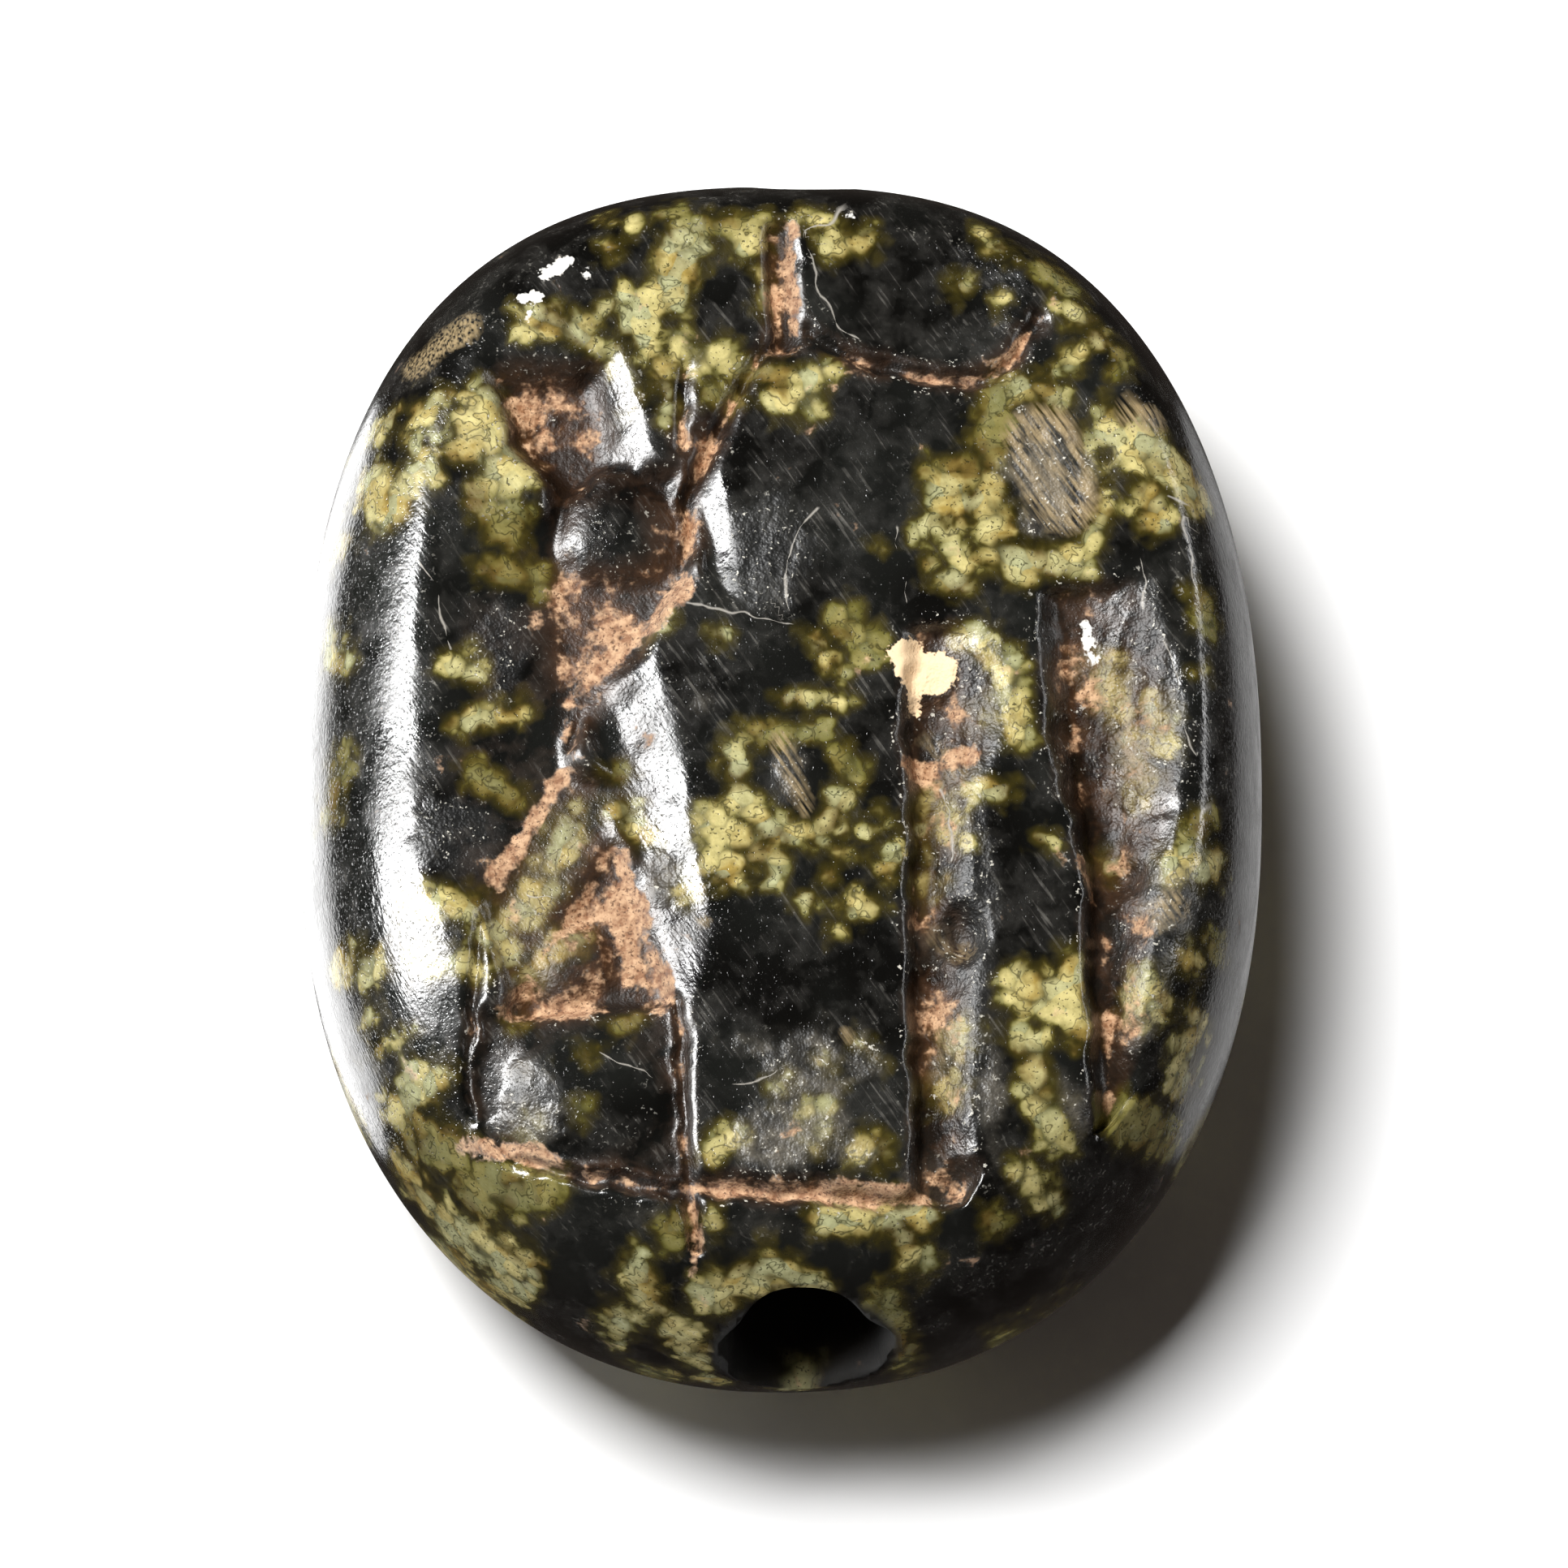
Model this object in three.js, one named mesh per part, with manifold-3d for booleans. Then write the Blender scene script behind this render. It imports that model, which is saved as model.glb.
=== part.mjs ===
import * as THREE from "three";
import { mergeVertices } from "three/addons/utils/BufferGeometryUtils.js";
import Module from "manifold-3d";

// An engraved gem: an oval stone bead, bored lengthwise and cut with a figure on its face.
// Millimetres, Z up out of the engraved face, Y along the bore, origin on the underside.

// The stone
const length = 20;
const width = 15.9;
const height = 8.2;
// Height of the widest line round the stone, above what it lies on
const girdleHeight = 3.7;
// How far the face falls from its middle to its edge
const faceCrown = 0.35;
// How square each quarter of the outline is, where 2 is an ellipse
const squareness = { northEast: 2.4, northWest: 2.7, southEast: 2.25, southWest: 2.2 };
// How far the worn shoulder reaches in from the outline on each side, above the girdle
const shoulder = { north: 1.3, south: 3, east: 1.3, west: 2.5 };
const shoulderFullness = 2;
// The same below the girdle, which leaves a small flat spot to lie on
const backShoulder = 5.7;
const backFullness = 2.1;

// The bore, from end to end, a little nearer the face than the back and a little to the east
const boreDiameter = 2.6;
const boreHeight = 5.3;
const boreOffset = 0.4;
// Each mouth is worn wider by this much, over this depth, by the cord
const mouthWear = 0.25;
const mouthDepth = 0.9;

// Depth of the deepest cut of the engraving, and width of its finest line
const cutDepth = 0.8;
const finestLine = 0.35;
// A groove's floor: its half width and how far a full lean moves it, as shares of half the groove's width,
// and the share of the depth that a full lean takes off its shallow side
const grooveFloor = 0.25;
const grooveShift = 0.5;
const grooveTilt = 0.15;
// Cutting solids stand this far over the face, and their outer edges clear it by this much
const cutterReach = 1.5;
const edgeClearance = 0.03;

// Number of flats round the stone, from pole to pole, and round the bore
const flatsRound = 76;
const flatsUp = 28;
const flatsOfBore = 28;
const flatsOfPit = 18;
const stepsPerStation = 3;
// Two corners nearer than this are the same corner
const sameCorner = 1e-4;

const halfLength = length / 2;
const halfWidth = width / 2;

const wasm = await Module();
wasm.setup();

// A closed geometry as a solid that can be joined and cut
function solid(geometry) {
  geometry.deleteAttribute("normal");
  geometry.deleteAttribute("uv");
  const merged = mergeVertices(geometry);
  const vertProperties = merged.attributes.position.array;
  const triVerts = new Uint32Array(merged.index.array);
  return new wasm.Manifold(new wasm.Mesh({ numProp: 3, vertProperties, triVerts }));
}

// Distance from the middle of the stone to its outline in one direction
function outlineReach(angle) {
  const east = (1 + Math.cos(angle)) / 2;
  const north = (1 + Math.sin(angle)) / 2;
  const power =
    north * (east * squareness.northEast + (1 - east) * squareness.northWest) +
    (1 - north) * (east * squareness.southEast + (1 - east) * squareness.southWest);
  const across = Math.abs(Math.cos(angle) / halfWidth) ** power;
  const along = Math.abs(Math.sin(angle) / halfLength) ** power;
  return (across + along) ** (-1 / power);
}

// Width of the worn shoulder in one direction
function shoulderReach(angle) {
  const sideways = Math.cos(angle) > 0 ? shoulder.east : shoulder.west;
  const endways = Math.sin(angle) > 0 ? shoulder.north : shoulder.south;
  return sideways * Math.cos(angle) ** 2 + endways * Math.sin(angle) ** 2;
}

// How much of the full rise the stone has reached, a distance in from its outline
function rise(inward, reach, fullness) {
  const left = Math.max(0, 1 - inward / reach);
  return (1 - left ** fullness) ** (1 / fullness);
}

// Height of the uncut face over a point
function faceHeight(x, y) {
  const angle = Math.atan2(y, x);
  const reach = outlineReach(angle);
  const share = Math.min(1, Math.hypot(x, y) / reach);
  const full = height - girdleHeight - faceCrown * share ** 2;
  return girdleHeight + full * rise(reach * (1 - share), shoulderReach(angle), shoulderFullness);
}

// The blank: a ball pushed out to the outline, with a low crown above and a rounder back
function blank() {
  const geometry = new THREE.SphereGeometry(1, flatsRound, flatsUp).rotateX(Math.PI / 2);
  const points = geometry.attributes.position;
  for (let i = 0; i < points.count; i += 1) {
    const angle = Math.atan2(points.getY(i), points.getX(i));
    const share = Math.min(1, Math.hypot(points.getX(i), points.getY(i)));
    const reach = outlineReach(angle);
    const x = Math.cos(angle) * share * reach;
    const y = Math.sin(angle) * share * reach;
    const back = girdleHeight * (1 - rise(reach * (1 - share), backShoulder, backFullness));
    points.setXYZ(i, x, y, points.getZ(i) > 0 ? faceHeight(x, y) : back);
  }
  return solid(geometry);
}

// The bore with its two worn mouths
function bore() {
  const radius = boreDiameter / 2;
  const mouth = halfLength - mouthDepth;
  const end = halfLength + mouthDepth;
  const profile = [
    new THREE.Vector2(0, -end),
    new THREE.Vector2(radius + 2 * mouthWear, -end),
    new THREE.Vector2(radius, -mouth),
    new THREE.Vector2(radius, mouth),
    new THREE.Vector2(radius + 2 * mouthWear, end),
    new THREE.Vector2(0, end),
  ];
  return solid(new THREE.LatheGeometry(profile, flatsOfBore).translate(boreOffset, 0, boreHeight));
}

// A place on the face, from shares of half the width and half the length
function place(u, v) {
  return new THREE.Vector2(u * halfWidth, v * halfLength);
}

// Height of a cut's floor under the face; an edge with no depth comes out just over it
function floorHeight(x, y, depth) {
  return faceHeight(x, y) - (depth > 0 ? depth * cutDepth : -edgeClearance);
}

// A facet or hollow between a few corners, each [u, v, depth as a share of cutDepth]
function hollow(corners) {
  const plan = corners.map(([u, v]) => place(u, v));
  const geometry = new THREE.ExtrudeGeometry(new THREE.Shape(plan), { depth: 1, bevelEnabled: false });
  const points = geometry.attributes.position;
  for (let i = 0; i < points.count; i += 1) {
    const x = points.getX(i);
    const y = points.getY(i);
    const corner = plan.findIndex((p) => Math.hypot(p.x - x, p.y - y) < sameCorner);
    const floor = floorHeight(x, y, corners[corner][2]);
    points.setZ(i, points.getZ(i) > 0 ? height + cutterReach : floor);
  }
  return solid(geometry);
}

// Straight blend between the values that the stations of a groove give
function blend(values, along) {
  const at = along * (values.length - 1);
  const first = Math.min(values.length - 2, Math.floor(at));
  return THREE.MathUtils.lerp(values[first], values[first + 1], at - first);
}

// A groove through stations, each [u, v, width in finest lines, depth share].
// Lean moves its floor sideways: on a groove that runs down the face, -1 gives a steep left wall.
function groove(stations, lean = 0) {
  const path = new THREE.SplineCurve(stations.map(([u, v]) => place(u, v)));
  const steps = stepsPerStation * (stations.length - 1);
  const across = [-1, grooveShift * lean - grooveFloor, grooveShift * lean + grooveFloor, 1];
  const deep = [0, 1, 1 - grooveTilt * Math.abs(lean), 0];
  const columns = across.length - 1;
  const geometry = new THREE.BoxGeometry(columns, steps, 1, columns, steps, 1);
  const points = geometry.attributes.position;
  for (let i = 0; i < points.count; i += 1) {
    const along = THREE.MathUtils.clamp(0.5 - points.getY(i) / steps, 0, 1);
    const column = Math.round(points.getX(i) + columns / 2);
    const middle = path.getPoint(along);
    const tangent = path.getTangent(along);
    const half = (blend(stations.map((s) => s[2]), along) * finestLine) / 2;
    const x = middle.x - tangent.y * across[column] * half;
    const y = middle.y + tangent.x * across[column] * half;
    const depth = blend(stations.map((s) => s[3]), along) * deep[column];
    points.setXYZ(i, x, y, points.getZ(i) > 0 ? height + cutterReach : floorHeight(x, y, depth));
  }
  return solid(geometry);
}

// A scooped dish or drilled pit: place, radii as shares, depth share, and how far round its ball bites
function dish(u, v, radiusU, radiusV, depth, bite = 0.5) {
  const middle = place(u, v);
  const ball = (depth * cutDepth) / (1 - bite);
  const spread = 1 / Math.sqrt(1 - bite ** 2);
  const geometry = new THREE.SphereGeometry(1, flatsOfPit, flatsOfPit / 2).rotateX(Math.PI / 2);
  geometry.scale(radiusU * halfWidth * spread, radiusV * halfLength * spread, ball);
  return solid(geometry.translate(middle.x, middle.y, faceHeight(middle.x, middle.y) + bite * ball));
}

// A round form left standing in a hollow, its top a share of the deepest cut below the face
function mound(u, v, radiusU, radiusV, topDepth, foot) {
  const middle = place(u, v);
  const base = faceHeight(middle.x, middle.y) - foot * cutDepth;
  const geometry = new THREE.SphereGeometry(1, flatsOfPit, flatsOfPit / 2).rotateX(Math.PI / 2);
  geometry.scale(radiusU * halfWidth, radiusV * halfLength, (foot - topDepth) * cutDepth);
  return solid(geometry.translate(middle.x, middle.y, base));
}

// The seated figure: a hollowed head pocket, its face as a bead, the back, neck, flank and skirt
function seatedFigure() {
  const headFloor = [
    [-0.58, 0.6, 0.8],
    [-0.4, 0.6, 0.9],
    [-0.36, 0.46, 0.9],
    [-0.44, 0.41, 0.9],
    [-0.54, 0.49, 1],
  ];
  const headRamp = [
    [-0.4, 0.6, 0.9],
    [-0.34, 0.65, 0],
    [-0.25, 0.44, 0],
    [-0.36, 0.46, 0.9],
  ];
  const headLedge = [
    [-0.62, 0.64, 0],
    [-0.58, 0.59, 0.6],
    [-0.4, 0.59, 0.6],
    [-0.34, 0.65, 0],
  ];
  const faceRing = [
    [-0.47, 0.42, 0.6],
    [-0.22, 0.44, 0.4],
    [-0.2, 0.26, 0.55],
    [-0.46, 0.22, 0.6],
  ];
  const neck = [
    [-0.46, 0.26, 0.65],
    [-0.21, 0.27, 0.6],
    [-0.31, 0.13, 0.5],
    [-0.44, 0.01, 0.55],
  ];
  const back = [
    [-0.74, 0.3, 0],
    [-0.5, 0.37, 0.2],
    [-0.46, 0.37, 0.5],
    [-0.45, 0.18, 0.55],
    [-0.44, -0.06, 0.55],
    [-0.55, -0.18, 0.55],
    [-0.6, -0.27, 0.3],
    [-0.74, -0.25, 0],
    [-0.79, 0.03, 0],
  ];
  const flank = [
    [-0.28, 0.17, 0],
    [-0.36, 0.09, 0.4],
    [-0.325, 0, 0.45],
    [-0.265, -0.1, 0.35],
    [-0.215, -0.2, 0.22],
    [-0.165, -0.29, 0.1],
    [-0.145, -0.28, 0],
    [-0.178, -0.17, 0],
    [-0.2, -0.05, 0],
    [-0.22, 0.05, 0],
  ];
  const thigh = [
    [-0.163, -0.3, 0.12],
    [-0.235, -0.48, 0.22],
    [-0.195, -0.49, 0],
    [-0.12, -0.31, 0],
  ];
  const front = [
    [-0.354, 0.085, 0.4],
    [-0.41, 0.04, 0.45],
    [-0.33, -0.09, 0.5],
    [-0.25, -0.44, 0.35],
    [-0.229, -0.475, 0.22],
    [-0.159, -0.295, 0.11],
    [-0.209, -0.2, 0.22],
    [-0.259, -0.1, 0.35],
    [-0.319, 0, 0.45],
  ];
  const skirt = [
    [-0.44, -0.05, 0.55],
    [-0.34, -0.08, 0.5],
    [-0.34, -0.19, 0.4],
    [-0.55, -0.44, 0.3],
    [-0.6, -0.28, 0.5],
  ];
  const lap = [
    [-0.34, -0.17, 0.6],
    [-0.56, -0.46, 0.8],
    [-0.22, -0.44, 0.75],
  ];
  return [
    hollow(headFloor),
    hollow(headRamp),
    hollow(headLedge),
    hollow(faceRing).subtract(mound(-0.34, 0.35, 0.12, 0.095, 0.05, 0.5)),
    hollow(neck),
    hollow(back),
    hollow(flank),
    hollow(thigh),
    hollow(front),
    hollow(skirt),
    hollow(lap).subtract(mound(-0.44, -0.37, 0.09, 0.07, 0.25, 0.8)),
  ];
}

// The stool that the figure sits on: a sunken box with a swelling in it, and the ground line below
function stoolAndGround() {
  const seat = [
    [-0.61, -0.46, 0.35],
    [-0.22, -0.455, 0.35],
    [-0.195, -0.73, 0.4],
    [-0.62, -0.67, 0.3],
  ];
  const leftEdge = [
    [-0.61, -0.28, 0.7, 0.25],
    [-0.63, -0.46, 0.7, 0.35],
    [-0.64, -0.67, 0.7, 0.35],
  ];
  const rightEdge = [
    [-0.215, -0.43, 0.9, 0.5],
    [-0.2, -0.58, 0.9, 0.5],
    [-0.19, -0.74, 0.9, 0.5],
    [-0.17, -0.86, 1.2, 0.35],
  ];
  const ground = [
    [-0.65, -0.655, 0.7, 0.2],
    [-0.44, -0.718, 1.1, 0.5],
    [-0.19, -0.745, 1.1, 0.5],
    [0.06, -0.755, 1.2, 0.5],
    [0.25, -0.77, 1.2, 0.45],
    [0.38, -0.735, 1.3, 0.3],
  ];
  const swelling = mound(-0.4, -0.6, 0.17, 0.12, 0, 0.4);
  return [hollow(seat).subtract(swelling), groove(leftEdge), groove(rightEdge), groove(ground)];
}

// The two uprights at the right: wheel-cut, with a steep left wall and drilled knobs
function uprights() {
  const near = [
    [0.345, 0.18, 4.4, 0.4],
    [0.35, 0.04, 5.2, 0.7],
    [0.325, -0.12, 3, 0.75],
    [0.325, -0.42, 2.9, 0.8],
    [0.33, -0.75, 3, 0.8],
  ];
  const far = [
    [0.65, 0.25, 5.6, 0.5],
    [0.69, 0.03, 6.8, 0.95],
    [0.7, -0.2, 4.2, 1],
    [0.69, -0.45, 2.6, 0.9],
    [0.69, -0.67, 2.3, 0.7],
  ];
  const knobs = [
    dish(0.35, -0.33, 0.075, 0.06, 0.85, 0.2),
    dish(0.335, -0.735, 0.07, 0.055, 0.8, 0.2),
    dish(0.69, -0.23, 0.065, 0.052, 1, 0.2),
  ];
  return [groove(near, -0.8), groove(far, -0.8), ...knobs];
}

// The emblems above: a scooped disc with a line under it, a short post, the collar and the bevel beside it
function emblems() {
  const underLine = [
    [0.05, 0.68, 0.8, 0.35],
    [0.2, 0.624, 1, 0.45],
    [0.38, 0.6, 1, 0.45],
    [0.49, 0.64, 0.9, 0.4],
    [0.53, 0.71, 0.7, 0.3],
  ];
  const post = [
    [0, 0.86, 1.6, 0.4],
    [0.01, 0.65, 1.9, 0.6],
  ];
  const collar = [
    [-0.03, 0.65, 0.6, 0.3],
    [-0.13, 0.51, 0.9, 0.5],
    [-0.19, 0.4, 1.2, 0.6],
    [-0.2, 0.31, 1.2, 0.6],
    [-0.26, 0.23, 1.4, 0.6],
    [-0.37, 0.13, 1.5, 0.6],
    [-0.44, -0.02, 0.9, 0.6],
  ];
  const nick = [
    [-0.2, 0.62, 0.6, 0.25],
    [-0.205, 0.48, 0.8, 0.35],
  ];
  const bevel = [
    [-0.155, 0.51, 1.2, 0.2],
    [-0.145, 0.36, 1.7, 0.35],
    [-0.1, 0.24, 1.2, 0.2],
  ];
  const disc = dish(0.285, 0.77, 0.225, 0.155, 0.32, 0.75);
  const rubbedSpot = dish(0.555, 0.45, 0.14, 0.14, 0.15);
  const lines = [groove(underLine), groove(post, -0.6), groove(collar), groove(nick), groove(bevel, -0.8)];
  return [disc, rubbedSpot, ...lines];
}

let stone = blank().subtract(bore());
for (const cut of [...seatedFigure(), ...stoolAndGround(), ...uprights(), ...emblems()]) {
  stone = stone.subtract(cut);
}

const made = stone.getMesh();
const geometry = new THREE.BufferGeometry();
geometry.setAttribute("position", new THREE.BufferAttribute(made.vertProperties, 3));
geometry.setIndex(new THREE.BufferAttribute(made.triVerts, 1));
geometry.computeVertexNormals();

// Mottled serpentine, dark green, polished by handling
const serpentine = new THREE.MeshStandardMaterial({ color: 0x2c3328, roughness: 0.35, metalness: 0 });
const gem = new THREE.Mesh(geometry, serpentine);
gem.name = "engraved_gem";

const group = new THREE.Group();
group.add(gem);

export default group;
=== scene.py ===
import math

import bpy
import numpy as np
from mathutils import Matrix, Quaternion, Vector

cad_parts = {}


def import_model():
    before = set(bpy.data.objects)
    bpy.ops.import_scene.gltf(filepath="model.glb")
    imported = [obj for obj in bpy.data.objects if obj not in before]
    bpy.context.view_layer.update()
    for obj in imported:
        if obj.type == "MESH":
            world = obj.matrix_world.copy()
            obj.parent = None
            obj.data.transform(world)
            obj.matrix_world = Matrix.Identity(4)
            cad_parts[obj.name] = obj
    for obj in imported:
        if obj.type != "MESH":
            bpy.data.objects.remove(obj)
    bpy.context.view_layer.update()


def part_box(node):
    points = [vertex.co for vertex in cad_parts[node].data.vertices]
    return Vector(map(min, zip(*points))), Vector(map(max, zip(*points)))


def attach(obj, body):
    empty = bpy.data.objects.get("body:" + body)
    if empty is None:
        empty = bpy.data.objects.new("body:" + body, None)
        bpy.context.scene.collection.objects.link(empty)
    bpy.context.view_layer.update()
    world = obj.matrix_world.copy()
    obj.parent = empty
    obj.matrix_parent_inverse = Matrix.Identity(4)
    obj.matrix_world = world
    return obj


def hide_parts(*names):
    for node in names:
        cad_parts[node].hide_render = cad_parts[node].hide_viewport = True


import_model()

# The engraved gem: one oval bead of mottled serpentine, ground to a low-crowned face and a rounded back.
# It was bored from both ends, engraved with wheels and drills, and then polished by years of handling.
# Its outline, girdle, shoulders, bore and cuts are those of the solid, with the finer wear added to them.
mm = 0.001
stone_low, stone_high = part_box("engraved_gem")
half_width = (stone_high.x - stone_low.x) / 2
half_length = (stone_high.y - stone_low.y) / 2
face_top = stone_high.z
girdle_height = 3.7 * mm
face_crown = 0.35 * mm
squareness = {"north_east": 2.4, "north_west": 2.7, "south_east": 2.25, "south_west": 2.2}
shoulder = {"north": 1.3 * mm, "south": 3.0 * mm, "east": 1.3 * mm, "west": 2.5 * mm}
back_shoulder = 5.7 * mm
back_fullness = 2.1


def outline_reach(angle):
    """Distance from the middle of the stone to its outline in one direction."""
    east = (1 + np.cos(angle)) / 2
    north = (1 + np.sin(angle)) / 2
    power = north * (east * squareness["north_east"] + (1 - east) * squareness["north_west"])
    power = power + (1 - north) * (east * squareness["south_east"] + (1 - east) * squareness["south_west"])
    across = np.abs(np.cos(angle) / half_width) ** power
    along = np.abs(np.sin(angle) / half_length) ** power
    return (across + along) ** (-1 / power)


def shoulder_reach(angle):
    """Width of the worn shoulder in one direction."""
    sideways = np.where(np.cos(angle) > 0, shoulder["east"], shoulder["west"])
    endways = np.where(np.sin(angle) > 0, shoulder["north"], shoulder["south"])
    return sideways * np.cos(angle) ** 2 + endways * np.sin(angle) ** 2


def face_height(across, along):
    """Height of the uncut face over a point."""
    angle = np.arctan2(along, across)
    reach = outline_reach(angle)
    share = np.minimum(1, np.hypot(across, along) / reach)
    left = np.maximum(0, 1 - reach * (1 - share) / shoulder_reach(angle))
    full = face_top - girdle_height - face_crown * share**2
    return girdle_height + full * np.sqrt(1 - left**2)


def smooth(low, high, value):
    """Eases from 0 to 1 while a value goes from low to high."""
    part = np.clip((value - low) / (high - low), 0, 1)
    return part * part * (3 - 2 * part)


# The face is a fine grid bent to the outline; it ends half way down the shoulder, where the rings of the
# sides take over.
cells_across = 232
cells_along = 296
face_edge = 0.5
square_x, square_y = np.meshgrid(np.linspace(-1, 1, cells_across + 1), np.linspace(-1, 1, cells_along + 1))
disc_x = square_x * np.sqrt(1 - square_y**2 / 2)
disc_y = square_y * np.sqrt(1 - square_x**2 / 2)
turn = np.arctan2(disc_y * half_length, disc_x * half_width)
edge_share = 1 - face_edge * shoulder_reach(turn) / outline_reach(turn)
reach_out = np.hypot(disc_x, disc_y) * edge_share * outline_reach(turn)
x = reach_out * np.cos(turn)
y = reach_out * np.sin(turn)
within = 1 - smooth(0.9, 0.99, np.maximum(np.abs(square_x), np.abs(square_y)))


def swell(size, seed, slant=0, stretch=1):
    """Random swells over the face, of one size, drawn out by stretch along a slant in degrees."""
    heights = np.random.RandomState(seed).uniform(-1, 1, (256, 256))
    run = math.radians(slant)
    along_grain = (x * math.cos(run) + y * math.sin(run)) / (size * stretch) + 128
    over_grain = (y * math.cos(run) - x * math.sin(run)) / size + 128
    column = np.floor(along_grain).astype(int)
    row = np.floor(over_grain).astype(int)
    right = smooth(0, 1, along_grain - column)
    up = smooth(0, 1, over_grain - row)
    low_row = heights[row % 256, column % 256] * (1 - right) + heights[row % 256, (column + 1) % 256] * right
    high_row = heights[(row + 1) % 256, column % 256] * (1 - right)
    high_row = high_row + heights[(row + 1) % 256, (column + 1) % 256] * right
    return low_row * (1 - up) + high_row * up


# The engraving is sunk with a few kinds of cut, each kept as its depth below the face.
# Places are shares of the half width and length, and depths are shares of the deepest cut.
# The lips of the cuts have crumbled a little, so the cuts are laid out on slightly wandering places.
deepest_cut = 0.8 * mm
finest_line = 0.35 * mm
wall_width = 0.12 * mm
crumble = 0.07 * mm
cut_x = x + crumble * (swell(0.45 * mm, 1) + 0.6 * swell(0.2 * mm, 2))
cut_y = y + crumble * (swell(0.45 * mm, 3) + 0.6 * swell(0.2 * mm, 4))
broad_depths = []
fine_depths = []
earth_levels = []


def keep(depths, depth, earth):
    """Adds one cut to the broad or the fine ones, with how much of it the earth fills."""
    depths.append(depth)
    earth_levels.append(earth * smooth(0.04 * mm, 0.22 * mm, depth))


def mound(u, v, radius_u, radius_v, top, foot):
    """Depth of a round form left standing in a hollow."""
    out = np.hypot(cut_x / half_width - u, (cut_y / half_length - v) * radius_u / radius_v) / radius_u
    rise = np.sqrt(np.maximum(0, 1 - out**2))
    return np.where(out < 1, (foot - (foot - top) * rise) * deepest_cut, np.inf)


def hollow(corners, earth=0.0, standing=np.inf):
    """Sinks a floor between corners, each u, v and depth, with steep walls where a corner has depth."""
    plan = np.array([(u * half_width, v * half_length) for u, v, depth in corners])
    depth = np.array([depth * deepest_cut for u, v, depth in corners])[:, None, None]
    to_x = plan[:, 0, None, None] - cut_x
    to_y = plan[:, 1, None, None] - cut_y
    next_x = np.roll(to_x, -1, axis=0)
    next_y = np.roll(to_y, -1, axis=0)
    cross = to_x * next_y - to_y * next_x
    dot = to_x * next_x + to_y * next_y
    away = np.hypot(to_x, to_y) + 1e-9
    tangent = (away * np.roll(away, -1, axis=0) - dot) / np.where(np.abs(cross) < 1e-15, 1e-15, cross)
    weight = (tangent + np.roll(tangent, 1, axis=0)) / away
    floor = (weight * depth).sum(axis=0) / weight.sum(axis=0)
    inside = np.abs(np.arctan2(cross, dot).sum(axis=0)) > math.pi
    edge_x = next_x - to_x
    edge_y = next_y - to_y
    along = np.clip(-(to_x * edge_x + to_y * edge_y) / (edge_x**2 + edge_y**2), 0, 1)
    gap = np.hypot(to_x + along * edge_x, to_y + along * edge_y).min(axis=0)
    floor = np.minimum(np.clip(floor, 0, depth.max()), standing)
    keep(broad_depths, floor * smooth(-wall_width, 0, np.where(inside, gap, -gap)), earth)


def spline(points, count):
    """Even steps along a smooth line through points."""
    points = np.array(points, float)
    ends = np.vstack([points[0], points, points[-1]])
    at = np.linspace(0, len(points) - 1, count)
    first = np.minimum(at.astype(int), len(points) - 2)
    part = (at - first)[:, None]
    before, here, there, after = ends[first], ends[first + 1], ends[first + 2], ends[first + 3]
    bend = 2 * here + (there - before) * part
    bend = bend + (2 * before - 5 * here + 4 * there - after) * part**2
    return (bend + (3 * here - before - 3 * there + after) * part**3) / 2


def beside(stations):
    """Nearest station along a line, with how far a point lies to its side and past its ends."""
    line = spline([(u * half_width, v * half_length) for u, v in stations], 24 * len(stations))
    ahead = np.gradient(line, axis=0)
    ahead = ahead / np.linalg.norm(ahead, axis=1)[:, None]
    nearest = np.zeros(x.shape, int)
    least = np.full(x.shape, np.inf)
    for index, (line_x, line_y) in enumerate(line):
        gap = (cut_x - line_x) ** 2 + (cut_y - line_y) ** 2
        closer = gap < least
        nearest[closer] = index
        least[closer] = gap[closer]
    off_x = cut_x - line[nearest, 0]
    off_y = cut_y - line[nearest, 1]
    side = off_y * ahead[nearest, 0] - off_x * ahead[nearest, 1]
    past = np.abs(off_x * ahead[nearest, 0] + off_y * ahead[nearest, 1])
    ended = (nearest == 0) | (nearest == len(line) - 1)
    return nearest / (len(line) - 1), side, np.where(ended, past, 0)


def groove(stations, lean=0.0, earth=0.0):
    """Cuts along stations, each u, v, width in finest lines and depth; lean -1 has a steep left wall."""
    along, side, past = beside([(u, v) for u, v, width, depth in stations])
    marks = np.linspace(0, 1, len(stations))
    half = np.interp(along, marks, [width * finest_line / 2 for u, v, width, depth in stations])
    depth = np.interp(along, marks, [depth * deepest_cut for u, v, width, depth in stations])
    across = [-1, 0.5 * lean - 0.25, 0.5 * lean + 0.25, 1]
    profile = np.interp(side / half, across, [0, 1, 1 - 0.15 * abs(lean), 0])
    keep(fine_depths, depth * profile * (1 - smooth(0, wall_width, past)), earth)


def dish(u, v, radius_u, radius_v, depth, bite=0.5, earth=0.0):
    """Scoops a dish or drills a pit with a ball."""
    ball = depth * deepest_cut / (1 - bite)
    spread = 1 / math.sqrt(1 - bite**2)
    out = np.hypot(cut_x / half_width - u, (cut_y / half_length - v) * radius_u / radius_v) / radius_u
    keep(fine_depths, np.maximum(0, ball * (np.sqrt(np.maximum(0, 1 - (out / spread) ** 2)) - bite)), earth)


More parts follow.
